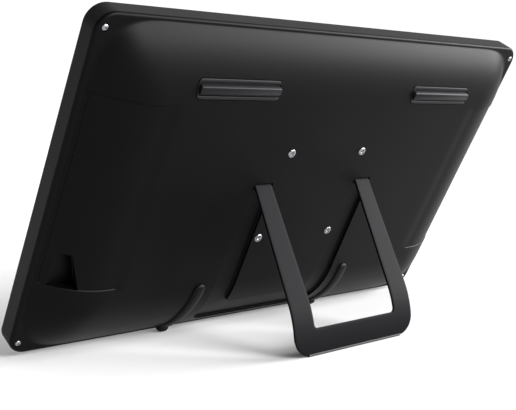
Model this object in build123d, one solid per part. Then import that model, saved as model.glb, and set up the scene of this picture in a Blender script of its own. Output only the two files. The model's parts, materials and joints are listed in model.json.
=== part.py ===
from build123d import *
import math
import os

# A pen drawing tablet with its own screen, leaning back on a folding stand.
#
# Everything is drawn in the panel's own directions and leaned back at the end:
#   X  to the right of someone who faces the screen
#   Y  through the thickness, 0 on the flat rim of the rear cover, the screen at -Y, the back at +Y
#   Z  up along the panel, 0 half way up it
# All sizes are in millimetres.

# ---------------------------------------------------------------- the panel
PANEL_W = 566.0
PANEL_H = 346.0
CORNER_R = 18.0
BAND_D = 20.7            # straight sides, from the glass to the rear cover's rim
RIM_D = 3.5              # part of the straight side that belongs to the rear cover
RIM_ROUND = 3.0          # rolled edge of that rim

# ---------------------------------------------------------------- the rear cover
CROWN_D = 27.0           # how far the flat middle stands behind the rim
ROLL_TOP = 73.0          # width of the rolled border along the top and bottom, to the panel's edge
ROLL_SIDE = 69.0         # the same along the two sides
LAND_TOP = 3.5           # flat rim left outside the roll, top and bottom
LAND_SIDE = 6.0          # flat rim left outside the roll at the sides
CORNER_RUN = 80.0        # length of the roll across a corner, on the diagonal
CORNER_LEAD = 3.0        # how much sooner the corner roll starts than the other two meet
ROLL_BELOW = 12.0        # the rolls are carried on this far below the rim, to meet it cleanly
BULGE_LAP = 0.6          # the crown's outline is carried on this far over the rim
FAR = 60.0               # beyond anything in the thickness
WALL = 2.4               # wall of the cover and of the frame

SCOOP_DEPTH = 1.0
SCOOP_TOP = 106.0
SCOOP_BOTTOM = -86.0
SCOOP_OUTER = 274.0
SCOOP_INNER = 196.0
SCOOP_R = 8.0
SCOOP_LEAD = 16.0        # how far before the side roll the scoop starts to sink

# ---------------------------------------------------------------- the folding stand
STAND_T = 2.5            # sheet thickness
STAND_TOP = 22.0         # height of the stand's top edge on the panel
STAND_SPREAD = 81.0      # half the width over the legs at the top
STAND_FLARE = 2.5        # how much each leg edge moves outward or inward on its way down
LEG_W = 21.0             # width of a leg at the top
STAND_ROLL = 56.0        # how far the sheet goes on round the lower roll, to the strip's tip
BAR_H = 26.5             # height of the cross bar, along the sheet
BAR_CORNER_R = 18.0
WINDOW_CORNER_R = 4.5
STAND_OPEN = 55.0        # degrees from folded, as it stands
STAND_SINK = 0.2         # the folded sheet lies this far under the cover's surface
STRIP_R = 1.6            # rubber strip on the bar's lower edge
PIN_R = 1.5
PIN_FIT = 0.05           # running clearance, on the radius, of the knuckle on its pin
KNUCKLE_GAP = 0.5        # knuckle to pocket, all round
CHANNEL_DEPTH = 3.6
CHANNEL_WALL = 2.0       # cover under the channel's floor
CHANNEL_GAP = 1.1        # stand to channel, each side
FINGER_GAP = 9.0         # channel left open below the bar, to lift it by
EAR_T = 1.5              # hinge bracket sheet
EAR_MARGIN = 2.9         # metal round the pin in a bracket ear
WASHER_T = 0.8
PIN_HEAD_T = 2.0
PIN_HEAD_R = 2.8

# ---------------------------------------------------------------- feet and pads
FOOT_T = 3.0             # how far a rubber foot stands off the cover
FOOT_SEAT = 0.8          # depth of the groove it is glued into
FOOT_X = 103.5           # middle of the foot at its upper end
FOOT_W = 13.0
FOOT_LEAN = 4.0          # degrees that the foot leans outward on its way down
FOOT_RISE = 71.0         # middle of its round upper end, above the panel's lower edge
FOOT_PAST = 12.0         # the foot's outline is carried on this far below the panel
FOOT_FIT = 0.15          # groove to foot, all round
TOE_Y = 1.5
TOE_DROP = 1.5           # height of the toe's centre above the panel's lower edge
TOE_R = 4.0
PAD_X = 140.0
PAD_W = 94.0
PAD_H = 18.5
PAD_DROP = 42.0          # pad's upper edge to the panel's top
PAD_PROUD = 1.2          # flat top of a pad behind the crown
PAD_R = 4.0
PAD_SEAT = 1.2
PAD_GAP = 0.6

# ---------------------------------------------------------------- arm mount
MOUNT_PITCH = 100.0
MOUNT_Z = 6.0            # its centre above the middle of the panel
INSERT_HOLE_R = 2.0
INSERT_R = 3.0
INSERT_FLANGE_R = 4.6
INSERT_FLANGE_T = 1.3
INSERT_L = 12.0
MOUNT_PLATE_T = 2.0
MOUNT_PLATE_W = 108.0
MOUNT_PLATE_H = 124.0
POST_R = 3.5
POST_BORE_R = 1.25
POST_INSET = 12.0

# ---------------------------------------------------------------- screen stack, front to back
GLASS_T = 1.5
GLASS_LIP = 1.4          # frame visible round the glass
GLASS_GAP = 0.2
GASKET_T = 0.5
SHELF_T = 2.0
ACTIVE_W = 527.0         # picture area, 16:9, 605 mm (23.8 inch) across
ACTIVE_H = 296.5
CELL_MARGIN = 4.5
CELL_T = 1.4
DIFFUSER_T = 0.9
GUIDE_T = 3.0
REFLECTOR_T = 0.3
TRAY_T = 0.8
TRAY_MARGIN = 2.0        # tray wall outside the cell
SENSOR_T = 0.8
SHIELD_T = 0.3
CHASSIS_T = 1.0
LAYER_GAP = 0.1
LIGHT_BAR_T = 1.0
LIGHT_BAR_GAP = 0.3
LED_L = 4.0
LED_T = 0.8
LED_D = 1.4
LED_PITCH = 12.0

# ---------------------------------------------------------------- screws
SCREW_R = 1.5
SCREW_HEAD_R = 3.0
SCREW_HEAD_T = 1.9
SCREW_SINK = 1.0
SCREW_L = 10.0
SCREW_FROM_SIDE = 8.5
SCREW_FROM_TOP = 13.5
BOSS_R = 3.7
SMALL_SCREW_R = 1.25
SMALL_HEAD_R = 2.4
SMALL_HEAD_T = 1.5
SMALL_SCREW_L = 4.5

# ---------------------------------------------------------------- boards and ports
BOARD_T = 1.6
BOARD_STAND = 4.0
MAIN_BOARD_W = 150.0
MAIN_BOARD_H = 84.0
MAIN_BOARD_X = -150.0
MAIN_BOARD_Z = 60.0
CAN_W = 62.0
CAN_H = 46.0
CAN_T = 5.0
CAN_WALL = 0.3
PEN_BOARD_W = 92.0
PEN_BOARD_H = 34.0
PEN_BOARD_X = -150.0
PEN_BOARD_Z = -60.0
RIBBON_T = 0.4
POCKET_TOP = -50.0
POCKET_BOTTOM = -86.0
POCKET_TOP_X = 255.0     # where the port wall starts at the pocket's upper end
POCKET_LOW_X = 243.0     # where it ends at the lower end
POCKET_FLOOR = 7.0
PORT_WALL = 2.0
PORT_PLATE_T = 1.2
PORT_PLATE_L = 35.0
PORT_PLATE_H = 8.4
PORT_SLOT_L = 32.0
PORT_SLOT_H = 6.2
PORT_Y = 11.2
USB_W = 9.0
USB_H = 3.2
USB_DEPTH = 7.5
USB_WALL = 0.3
USB_TONGUE_T = 0.7
POWER_R = 2.95           # round body of the power socket
POWER_BORE_R = 2.6
POWER_PIN_R = 0.9
POWER_DEPTH = 9.0
PORT_PITCH = 11.5
SOCKET_FIT = 0.1
USB_END_WALL = 1.0
USB_TONGUE_W = 6.6
USB_TONGUE_SET_BACK = 0.8

# ---------------------------------------------------------------- buttons
BUTTON_Z = 95.0          # the power button, on the left side band
BUTTON_PITCH = 17.0
BUTTON_L = 10.0
BUTTON_W = 3.6
BUTTON_Y = -9.5
BUTTON_TRAVEL = 0.8
BUTTON_SINK = 0.2        # cap below the side face
BUTTON_FIT = 0.3
BUTTON_FLANGE = 1.2
SWITCH_TIP = 0.8
SWITCH_TIP_R = 1.2
GROOVE_D = 0.9           # shallow finger groove round the three buttons
SWITCH_GAP = 0.4
SWITCH_D = 3.0
SWITCH_SIZE = 4.5

# ---------------------------------------------------------------- worked out from the above
FRONT_Y = -BAND_D
FLAT_X = PANEL_W / 2 - ROLL_SIDE
FLAT_Z = PANEL_H / 2 - ROLL_TOP
CROWN_RUN = ROLL_TOP - LAND_TOP
CROWN_R = (CROWN_RUN ** 2 + CROWN_D ** 2) / (2 * CROWN_D)
CROWN_CENTRE_Y = CROWN_D - CROWN_R

GLASS_BACK = FRONT_Y + GLASS_T
SHELF_FRONT = GLASS_BACK + GASKET_T
SHELF_BACK = SHELF_FRONT + SHELF_T
CELL_BACK = GLASS_BACK + CELL_T
DIFFUSER_FRONT = CELL_BACK + LAYER_GAP
GUIDE_FRONT = DIFFUSER_FRONT + DIFFUSER_T
REFLECTOR_FRONT = GUIDE_FRONT + GUIDE_T
TRAY_FRONT = REFLECTOR_FRONT + REFLECTOR_T
TRAY_BACK = TRAY_FRONT + TRAY_T
SENSOR_FRONT = TRAY_BACK + LAYER_GAP
SHIELD_FRONT = SENSOR_FRONT + SENSOR_T
CHASSIS_FRONT = SHIELD_FRONT + SHIELD_T + LAYER_GAP
CHASSIS_BACK = CHASSIS_FRONT + CHASSIS_T

CELL_W = ACTIVE_W + 2 * CELL_MARGIN
CELL_H = ACTIVE_H + 2 * CELL_MARGIN
TRAY_W = CELL_W + 2 * TRAY_MARGIN
TRAY_H = CELL_H + 2 * TRAY_MARGIN
GLASS_INSET = GLASS_LIP + GLASS_GAP
CHASSIS_W = TRAY_W - 5.0
CHASSIS_H = PANEL_H - 2 * WALL - 8.0
CHASSIS_SCREW_X = CHASSIS_W / 2 - 28.0
CHASSIS_SCREW_Z = CHASSIS_H / 2 - 4.4

SCREW_X = PANEL_W / 2 - SCREW_FROM_SIDE
SCREW_Z = PANEL_H / 2 - SCREW_FROM_TOP

KNUCKLE_R = PIN_R + PIN_FIT + STAND_T
SHEET_Y = CROWN_D - STAND_SINK
SHEET_R = CROWN_R - STAND_SINK
HINGE_Y = SHEET_Y - KNUCKLE_R
HINGE_Z = STAND_TOP - KNUCKLE_R
LEG_RUN = STAND_TOP - (-FLAT_Z)
BEND_END = (STAND_ROLL - STRIP_R) / CROWN_R
BAR_START = (STAND_ROLL - BAR_H) / CROWN_R
BAR_TOP_Z = -FLAT_Z - SHEET_R * math.sin(BAR_START)
BAR_LOW_Z = -FLAT_Z - SHEET_R * math.sin(BEND_END)
TIP_R = SHEET_R - STAND_T / 2
TIP_Y = CROWN_CENTRE_Y + TIP_R * math.cos(BEND_END)
TIP_Z = -FLAT_Z - TIP_R * math.sin(BEND_END)
KNUCKLE_IN = STAND_SPREAD - LEG_W
POCKET_IN = KNUCKLE_IN - KNUCKLE_GAP
POCKET_OUT = STAND_SPREAD + KNUCKLE_GAP
HINGE_POCKET_FLOOR = HINGE_Y - KNUCKLE_R - KNUCKLE_GAP
BRACKET_TOP = HINGE_POCKET_FLOOR - WALL - 0.2
BRACKET_LOW = BRACKET_TOP - EAR_T
EAR_IN = POCKET_IN - WALL - 0.2
EAR_OUT = POCKET_OUT + WALL + 0.2
BRACKET_SCREW_REACH = 16.0
PLATE_BACK = CROWN_D - WALL - SMALL_HEAD_T - 0.3
PLATE_FRONT = PLATE_BACK - MOUNT_PLATE_T

COVER_SCREW_L = RIM_D - SCREW_SINK + SCREW_L - 0.5
TOE_Z = -PANEL_H / 2 + TOE_DROP
FOOT_TOP = -PANEL_H / 2 + FOOT_RISE
PAD_HIGH = PANEL_H / 2 - PAD_DROP
PAD_LOW = PAD_HIGH - PAD_H
PAD_TOP_Y = CROWN_D + PAD_PROUD
PORT_RUN_X = POCKET_TOP_X - POCKET_LOW_X
PORT_RUN_Z = POCKET_TOP - POCKET_BOTTOM
PORT_TURN = math.degrees(math.atan2(PORT_RUN_X, PORT_RUN_Z))
PORT_MID_X = (POCKET_TOP_X + POCKET_LOW_X) / 2
PORT_MID_Z = (POCKET_TOP + POCKET_BOTTOM) / 2
PORT_BOARD_BACK = PORT_Y - USB_H / 2 - 0.3

SIDE_IN = PANEL_W / 2 - WALL
FLANGE_X = SIDE_IN - 0.1
SWITCH_FACE = FLANGE_X - BUTTON_FLANGE - BUTTON_TRAVEL - SWITCH_GAP
BUTTON_BOARD_X = SWITCH_FACE - SWITCH_D


# ---------------------------------------------------------------- helpers
def plate(outline, y_low, y_high):
    """Solid between two depths, from an outline drawn in X and Z."""
    face = Plane((0, y_high, 0), x_dir=(1, 0, 0), z_dir=(0, -1, 0)) * outline
    return extrude(face, y_high - y_low)


def bar(outline, x_low, x_high):
    """Solid between two widths, from an outline drawn in Y and Z."""
    face = Plane((x_low, 0, 0), x_dir=(0, 1, 0), z_dir=(1, 0, 0)) * outline
    return extrude(face, x_high - x_low)


def block(x, y, z):
    """Box from a low and a high value in each direction."""
    size = Box(x[1] - x[0], y[1] - y[0], z[1] - z[0])
    return Pos((x[0] + x[1]) / 2, (y[0] + y[1]) / 2, (z[0] + z[1]) / 2) * size


def rod_y(x, z, radius, y_low, y_high):
    """Round bar through the thickness."""
    return plate(Pos(x, z) * Circle(radius), y_low, y_high)


def rod_x(y, z, radius, x_low, x_high):
    """Round bar across the panel."""
    return bar(Pos(y, z) * Circle(radius), x_low, x_high)


def rounded(width, height, radius):
    return RectangleRounded(width, height, radius)


def panel_outline(inset):
    return rounded(PANEL_W - 2 * inset, PANEL_H - 2 * inset, CORNER_R - inset)


def both_sides(part):
    """The part and its mirror image, as one group."""
    return part + mirror(part, about=Plane.YZ)


def screw(x, z, y, radius, length, head_r, head_t, recess_r):
    """Pan-head screw seated at depth y, with a hexagon recess, driven towards the screen."""
    head = rod_y(x, z, head_r, y, y + head_t)
    head = fillet(head.edges().sort_by(Axis.Y)[-1], head_t * 0.45)
    recess = plate(Pos(x, z) * RegularPolygon(recess_r, 6), y + head_t * 0.35, y + head_t + 1)
    return head - recess + rod_y(x, z, radius, y - length, y)


# ---------------------------------------------------------------- crowned surface
def roll_height(z):
    """Depth of the cover's rear surface over the feet and pads, where it rolls only up and down."""
    return CROWN_CENTRE_Y + math.sqrt(CROWN_R ** 2 - max(0.0, abs(z) - FLAT_Z) ** 2)


def rolled_block(half_flat, run, turn):
    """Long block, flat behind and rolled down on a radius at both sides, turned about the thickness."""
    radius = (run ** 2 + CROWN_D ** 2) / (2 * CROWN_D)
    end = math.acos((radius - CROWN_D - ROLL_BELOW) / radius)
    edge_x = half_flat + radius * math.sin(end)
    mid_x = half_flat + radius * math.sin(end / 2)
    mid_y = CROWN_D - radius * (1 - math.cos(end / 2))
    with BuildSketch() as section:
        with BuildLine():
            Line((-edge_x, -FAR), (-edge_x, -ROLL_BELOW))
            ThreePointArc((-edge_x, -ROLL_BELOW), (-mid_x, mid_y), (-half_flat, CROWN_D))
            Line((-half_flat, CROWN_D), (half_flat, CROWN_D))
            ThreePointArc((half_flat, CROWN_D), (mid_x, mid_y), (edge_x, -ROLL_BELOW))
            Line((edge_x, -ROLL_BELOW), (edge_x, -FAR))
            Line((edge_x, -FAR), (-edge_x, -FAR))
        make_face()
    angle = math.radians(turn)
    across = (math.cos(angle), 0, math.sin(angle))
    along = (-math.sin(angle), 0, math.cos(angle))
    return extrude(Plane((0, 0, 0), x_dir=across, z_dir=along) * section.sketch, PANEL_W, both=True)


def crown_solid():
    """Everything in front of the cover's rear surface: rolled at the sides, top and bottom, and corners."""
    side_run = ROLL_SIDE - LAND_SIDE
    diagonal = math.atan2(CROWN_RUN, side_run)
    corner_flat = FLAT_X * math.cos(diagonal) + FLAT_Z * math.sin(diagonal) - CORNER_LEAD
    crown = rolled_block(FLAT_X, side_run, 0) & rolled_block(FLAT_Z, CROWN_RUN, 90)
    for turn in (math.degrees(diagonal), -math.degrees(diagonal)):
        crown &= rolled_block(corner_flat, CORNER_RUN, turn)
    return crown


CROWN = crown_solid()


def sunk(depth):
    """The crowned solid moved towards the screen."""
    return Pos(0, -depth, 0) * CROWN


# ---------------------------------------------------------------- outlines shared by several pieces
def stand_plan(gap, tail, top):
    """Folded stand seen from behind: two legs and a cross bar, grown by gap, and by tail below the bar."""
    low = BAR_LOW_Z - tail
    spread = STAND_SPREAD + gap
    wide = spread + STAND_FLARE
    inner = STAND_SPREAD - LEG_W - gap
    outside = Polygon(
        (-spread, top), (-wide, -FLAT_Z), (-wide, low),
        (wide, low), (wide, -FLAT_Z), (spread, top), align=None
    )
    outside = fillet(outside.vertices().sort_by(Axis.Y)[:2], BAR_CORNER_R)
    window_low = BAR_TOP_Z + gap
    narrow = inner - STAND_FLARE
    window = Polygon(
        (-inner, top), (-narrow, -FLAT_Z), (-narrow, window_low), (narrow, window_low), (narrow, -FLAT_Z),
        (inner, top), (inner, top + 30), (-inner, top + 30), align=None
    )
    window = fillet(window.vertices().sort_by(Axis.Y)[:2], WINDOW_CORNER_R)
    return outside - window


def foot_plan(gap):
    """Rubber foot seen from behind: a straight shank with a round top, leaning outward on its way down."""
    half = FOOT_W / 2 + gap
    length = FOOT_RISE + FOOT_PAST
    shank = Pos(0, -length / 2) * Rectangle(2 * half, length) + Circle(half)
    return Pos(FOOT_X, FOOT_TOP) * Rot(0, 0, FOOT_LEAN) * shank


def roll_profile(offset, z_high, z_low):
    """Side view, in Y and Z, of all that lies in front of the cover's surface moved out by offset."""
    radius = CROWN_R + offset
    angle = math.asin((-FLAT_Z - z_low) / radius)
    mid = angle / 2
    with BuildSketch() as side:
        with BuildLine():
            Line((-FAR, z_high), (CROWN_D + offset, z_high))
            Line((CROWN_D + offset, z_high), (CROWN_D + offset, -FLAT_Z))
            ThreePointArc(
                (CROWN_D + offset, -FLAT_Z),
                (CROWN_CENTRE_Y + radius * math.cos(mid), -FLAT_Z - radius * math.sin(mid)),
                (CROWN_CENTRE_Y + radius * math.cos(angle), z_low),
            )
            Line((CROWN_CENTRE_Y + radius * math.cos(angle), z_low), (-FAR, z_low))
            Line((-FAR, z_low), (-FAR, z_high))
        make_face()
    return side.sketch


def pocket_plan(gap):
    """Port pocket seen from behind, grown by gap: the slanted side is the port wall."""
    slant = gap / math.cos(math.radians(PORT_TURN))
    lean = gap * math.tan(math.radians(PORT_TURN))
    far = PANEL_W / 2 + 20
    return Polygon(
        (POCKET_TOP_X - slant + lean, POCKET_TOP + gap), (POCKET_LOW_X - slant - lean, POCKET_BOTTOM - gap),
        (far, POCKET_BOTTOM - gap), (far, POCKET_TOP + gap), align=None
    )


PORTS = Pos(PORT_MID_X, 0, PORT_MID_Z) * Rot(0, PORT_TURN, 0)


# ---------------------------------------------------------------- pieces of the casing
def rim_solid():
    """Flat rim of the cover, with its rolled edge."""
    rim = plate(panel_outline(0), -RIM_D, 0)
    return fillet(rim.faces().sort_by(Axis.Y)[-1].edges(), RIM_ROUND)


def hinge_pocket(gap):
    """Deep end of a stand channel, where the knuckle turns, grown by gap."""
    return block(
        (POCKET_IN - gap, POCKET_OUT + gap),
        (HINGE_POCKET_FLOOR - gap, CROWN_D + 10),
        (HINGE_Z - KNUCKLE_R - 2 * KNUCKLE_GAP - gap, STAND_TOP + KNUCKLE_GAP + gap),
    )


def foot_seat():
    plan = plate(foot_plan(FOOT_FIT), -2, CROWN_D + 10)
    return plan - bar(roll_profile(-FOOT_SEAT, 0, -PANEL_H / 2 - 1), 0, PANEL_W / 2)


def pad_plane(depth):
    """Outline plane of a pad's seat: square to the chord of the roll under the pad, sunk by depth."""
    low = roll_height(PAD_LOW - PAD_GAP)
    high = roll_height(PAD_HIGH + PAD_GAP)
    middle = (low + high) / 2
    lean = math.degrees(math.atan2(low - high, PAD_HIGH - PAD_LOW + 2 * PAD_GAP))
    return Pos(PAD_X, middle, (PAD_LOW + PAD_HIGH) / 2) * Rot(lean, 0, 0) * Pos(0, -depth, 0)


def behind(place, width, height, radius, depth):
    """Rounded block that starts at a place and runs to the rear by depth."""
    return place * plate(rounded(width, height, radius), 0, depth)


def rear_cover():
    bulge = CROWN & plate(panel_outline(LAND_TOP - BULGE_LAP), -RIM_D, CROWN_D + 10)
    shell = rim_solid() + bulge

    cavity = sunk(WALL) & plate(panel_outline(WALL), -RIM_D - 1, CROWN_D + 10)
    channel_top = STAND_TOP + KNUCKLE_GAP
    walls = stand_plan(CHANNEL_GAP + WALL, FINGER_GAP + WALL, channel_top)
    cavity -= plate(walls, -FAR, FAR) - sunk(CHANNEL_DEPTH + CHANNEL_WALL)
    cavity -= both_sides(hinge_pocket(WALL))
    cavity -= plate(pocket_plan(PORT_WALL), POCKET_FLOOR - PORT_WALL, CROWN_D + 10)

    channel = stand_plan(CHANNEL_GAP, FINGER_GAP, channel_top)
    shell -= plate(channel, -FAR, FAR) - sunk(CHANNEL_DEPTH)
    shell -= cavity
    shell -= both_sides(hinge_pocket(0))
    shell -= both_sides(foot_seat())

    scoop = rounded(SCOOP_OUTER - SCOOP_INNER, SCOOP_TOP - SCOOP_BOTTOM, SCOOP_R)
    scoop = Pos((SCOOP_OUTER + SCOOP_INNER) / 2, (SCOOP_TOP + SCOOP_BOTTOM) / 2) * scoop
    fade = rolled_block(FLAT_X - SCOOP_LEAD, ROLL_SIDE - LAND_SIDE, 0)
    shell -= both_sides(plate(scoop, -1, FAR) - sunk(SCOOP_DEPTH) - fade)
    shell -= plate(pocket_plan(0), POCKET_FLOOR, FAR)
    shell -= PORTS * block((-PORT_WALL - 1, 1), (PORT_Y - PORT_SLOT_H / 2, PORT_Y + PORT_SLOT_H / 2),
                           (-PORT_SLOT_L / 2, PORT_SLOT_L / 2))

    seat_w = PAD_W + 2 * PAD_GAP
    seat_h = PAD_HIGH - PAD_LOW + 2 * PAD_GAP
    shell -= both_sides(behind(pad_plane(PAD_SEAT), seat_w, seat_h, PAD_R + PAD_GAP, 12))

    pin_hole_r = PIN_R + 0.1
    shell -= both_sides(rod_x(HINGE_Y, HINGE_Z, pin_hole_r, EAR_IN - EAR_T - 1, EAR_OUT + EAR_T + WASHER_T))
    relief_z = (HINGE_Z - EAR_MARGIN - PIN_R - 0.5, HINGE_Z + EAR_MARGIN + PIN_R + 0.5)
    relief_top = HINGE_Y + PIN_R + EAR_MARGIN * 0.5 + 0.3
    shell -= both_sides(block((EAR_IN - EAR_T - 0.2, EAR_IN + 0.2), (BRACKET_LOW, relief_top), relief_z))
    out = EAR_OUT + EAR_T + WASHER_T + PIN_HEAD_T + 0.4
    shell -= both_sides(block((EAR_OUT - 0.2, out), (BRACKET_LOW, relief_top), relief_z))

    for x in (-MOUNT_PITCH / 2, MOUNT_PITCH / 2):
        for z in (MOUNT_Z - MOUNT_PITCH / 2, MOUNT_Z + MOUNT_PITCH / 2):
            shell -= rod_y(x, z, INSERT_R, 10, FAR)
    for x in (-SCREW_X, SCREW_X):
        for z in (-SCREW_Z, SCREW_Z):
            shell -= rod_y(x, z, SCREW_HEAD_R + 0.4, -SCREW_SINK, 10)
            shell -= rod_y(x, z, SCREW_R + 0.2, -RIM_D - 1, 10)
    return shell


def button_heights():
    return [BUTTON_Z, BUTTON_Z - BUTTON_PITCH, BUTTON_Z - 2 * BUTTON_PITCH]


def oblong_x(length, width, x_low, x_high, y, z):
    """Round-ended bar that runs across the panel, long side along Z."""
    return bar(Pos(y, z) * Rot(0, 0, 90) * SlotOverall(length, width), x_low, x_high)


def mid_frame():
    """Side band with the shelf that carries the glass, and the bosses behind the shelf."""
    frame = plate(panel_outline(0), FRONT_Y, -RIM_D)
    frame = fillet(frame.faces().sort_by(Axis.Y)[0].edges(), 0.8)
    frame -= plate(panel_outline(GLASS_LIP), FRONT_Y - 1, SHELF_FRONT)
    frame -= plate(rounded(CELL_W + 2, CELL_H + 2, 1), FRONT_Y - 1, SHELF_BACK + 1)
    frame -= plate(panel_outline(WALL), SHELF_BACK, 0)
    frame -= plate(rounded(TRAY_W + 1, TRAY_H + 1, 1), DIFFUSER_FRONT, SHELF_BACK + 1)
    for x in (-SCREW_X, SCREW_X):
        for z in (-SCREW_Z, SCREW_Z):
            frame += rod_y(x, z, BOSS_R, SHELF_BACK, -RIM_D) - rod_y(x, z, SCREW_R, -RIM_D - SCREW_L, 0)
    for x in (-CHASSIS_SCREW_X, 0, CHASSIS_SCREW_X):
        for z in (-CHASSIS_SCREW_Z, CHASSIS_SCREW_Z):
            post = rod_y(x, z, BOSS_R, SHELF_BACK, CHASSIS_FRONT)
            frame += post - rod_y(x, z, SMALL_SCREW_R, CHASSIS_BACK - SMALL_SCREW_L, CHASSIS_FRONT + 1)
    groove_l = 2 * BUTTON_PITCH + BUTTON_L + 6
    groove_z = BUTTON_Z - BUTTON_PITCH
    edge = -PANEL_W / 2
    frame -= oblong_x(groove_l, BUTTON_W + 4, edge - 1, edge + GROOVE_D, BUTTON_Y, groove_z)
    for z in button_heights():
        slot = BUTTON_FIT * 2
        frame -= oblong_x(BUTTON_L + slot, BUTTON_W + slot, edge - 1, edge + WALL + 1, BUTTON_Y, z)
    return frame


def sheet_profile():
    """Side view, in Y and Z, of the folded sheet: straight, then bent to follow the cover's lower roll."""
    inner_r = SHEET_R - STAND_T
    ends = []
    for radius in (SHEET_R, inner_r):
        for angle in (0, BEND_END / 2, BEND_END):
            ends.append((CROWN_CENTRE_Y + radius * math.cos(angle), -FLAT_Z - radius * math.sin(angle)))
    with BuildSketch() as side:
        with BuildLine():
            Line((SHEET_Y, HINGE_Z), ends[0])
            ThreePointArc(ends[0], ends[1], ends[2])
            Line(ends[2], ends[5])
            ThreePointArc(ends[5], ends[4], ends[3])
            Line(ends[3], (SHEET_Y - STAND_T, HINGE_Z))
            Line((SHEET_Y - STAND_T, HINGE_Z), (SHEET_Y, HINGE_Z))
        make_face()
    return side.sketch


def kickstand():
    """Bent sheet: two legs that roll into knuckles at the top, and a cross bar that follows the cover."""
    sheet = bar(sheet_profile(), -PANEL_W / 2, PANEL_W / 2)
    stand = sheet & plate(stand_plan(0, 0, STAND_TOP), -FAR, FAR)
    stand += both_sides(rod_x(HINGE_Y, HINGE_Z, KNUCKLE_R, KNUCKLE_IN, STAND_SPREAD))
    return stand - rod_x(HINGE_Y, HINGE_Z, PIN_R + PIN_FIT, -PANEL_W / 2, PANEL_W / 2)


def stand_foot_strip(stand):
    """Rubber bead that grips the lower edge of the bar."""
    half = STAND_SPREAD + STAND_FLARE - BAR_CORNER_R
    return rod_x(TIP_Y, TIP_Z, STRIP_R, -half, half) - stand


def rubber_foot(side):
    """J-shaped rubber foot, glued in its groove, with a round toe that hooks under the panel."""
    shank = bar(roll_profile(FOOT_T, 0, TOE_Z), 0, PANEL_W / 2)
    shank -= bar(roll_profile(-FOOT_SEAT, 1, TOE_Z - 1), 0, PANEL_W / 2)
    shank &= plate(Rectangle(PANEL_W, PANEL_H - 2 * LAND_TOP), 0, CROWN_D + 10)
    toe = rod_x(TOE_Y, TOE_Z, TOE_R, 0, PANEL_W / 2)
    toe -= rim_solid() + plate(panel_outline(0), FRONT_Y, -RIM_D)
    foot = (shank + toe) & plate(foot_plan(0), -20, CROWN_D + 10)
    return foot if side > 0 else mirror(foot, about=Plane.YZ)


def rest_pad(side):
    """Rubber bar that the panel lies on when it is flat: its top is level with the feet."""
    height = PAD_HIGH - PAD_LOW
    pad = behind(pad_plane(PAD_SEAT), PAD_W, height, PAD_R, 12)
    pad &= plate(Rectangle(PANEL_W, PANEL_H), 0, PAD_TOP_Y)
    pad = fillet(pad.faces().sort_by(Axis.Y)[-1].edges(), 1.2)
    return pad if side > 0 else mirror(pad, about=Plane.YZ)


# ---------------------------------------------------------------- screen stack
def glass_gasket():
    outer = plate(panel_outline(GLASS_INSET + 1), GLASS_BACK, SHELF_FRONT)
    return outer - plate(rounded(CELL_W + 3, CELL_H + 3, 1.5), GLASS_BACK - 1, SHELF_FRONT + 1)


def panel_tray():
    tray = plate(rounded(TRAY_W, TRAY_H, 1), DIFFUSER_FRONT + 0.1, TRAY_BACK)
    return tray - plate(Rectangle(TRAY_W - 2 * TRAY_T, TRAY_H - 2 * TRAY_T), FRONT_Y, TRAY_FRONT)


def light_low():
    """Height of the light bar's seat in the tray."""
    return -TRAY_H / 2 + TRAY_T + 0.2


def guide_low():
    return light_low() + LIGHT_BAR_T + LED_T + LIGHT_BAR_GAP


def guide_outline():
    high = CELL_H / 2 - 0.5
    return Pos(0, (high + guide_low()) / 2) * Rectangle(CELL_W - 1, high - guide_low())


def light_bar():
    return block((-ACTIVE_W / 2, ACTIVE_W / 2), (GUIDE_FRONT, GUIDE_FRONT + GUIDE_T),
                 (light_low(), light_low() + LIGHT_BAR_T))


def light_chips():
    count = int((ACTIVE_W - 10) / LED_PITCH)
    low = light_low() + LIGHT_BAR_T
    depth = (GUIDE_FRONT + GUIDE_T / 2 - LED_D / 2, GUIDE_FRONT + GUIDE_T / 2 + LED_D / 2)
    chips = []
    for i in range(count):
        x = (i - (count - 1) / 2) * LED_PITCH
        chips.append(block((x - LED_L / 2, x + LED_L / 2), depth, (low, low + LED_T)))
    return Compound(chips)


# ---------------------------------------------------------------- structure behind the screen
def post_places():
    """Posts from the chassis: four to the mount plate, two to each hinge bracket."""
    x = MOUNT_PLATE_W / 2 - POST_INSET
    z = MOUNT_PLATE_H / 2 - POST_INSET
    return [(sx * x, MOUNT_Z + sz * z) for sx in (-1, 1) for sz in (-1, 1)]


def bracket_screw_places():
    x = (EAR_IN + EAR_OUT) / 2
    reach = BRACKET_SCREW_REACH
    return [(sx * x, HINGE_Z + sz * reach) for sx in (-1, 1) for sz in (-1, 1)]


def posts(places, top):
    group = []
    for x, z in places:
        post = rod_y(x, z, POST_R, CHASSIS_BACK, top)
        group.append(post - rod_y(x, z, POST_BORE_R, top - 8, top + 1))
    return Compound(group)


def chassis_plate():
    deck = plate(rounded(CHASSIS_W, CHASSIS_H, 4), CHASSIS_FRONT, CHASSIS_BACK)
    for x in (-CHASSIS_SCREW_X, 0, CHASSIS_SCREW_X):
        for z in (-CHASSIS_SCREW_Z, CHASSIS_SCREW_Z):
            deck -= rod_y(x, z, SMALL_SCREW_R + 0.15, CHASSIS_FRONT - 1, CHASSIS_BACK + 1)
    for x, z in ribbon_slots():
        deck -= block((x - 13, x + 13), (CHASSIS_FRONT - 1, CHASSIS_BACK + 1), (z - 3, z + 3))
    return deck


def small_screws(places, seat):
    return Compound([
        screw(x, z, seat, SMALL_SCREW_R, SMALL_SCREW_L, SMALL_HEAD_R, SMALL_HEAD_T, 1.1) for x, z in places
    ])


def chassis_screw_places():
    columns = (-CHASSIS_SCREW_X, 0, CHASSIS_SCREW_X)
    return [(x, z) for x in columns for z in (-CHASSIS_SCREW_Z, CHASSIS_SCREW_Z)]


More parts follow.
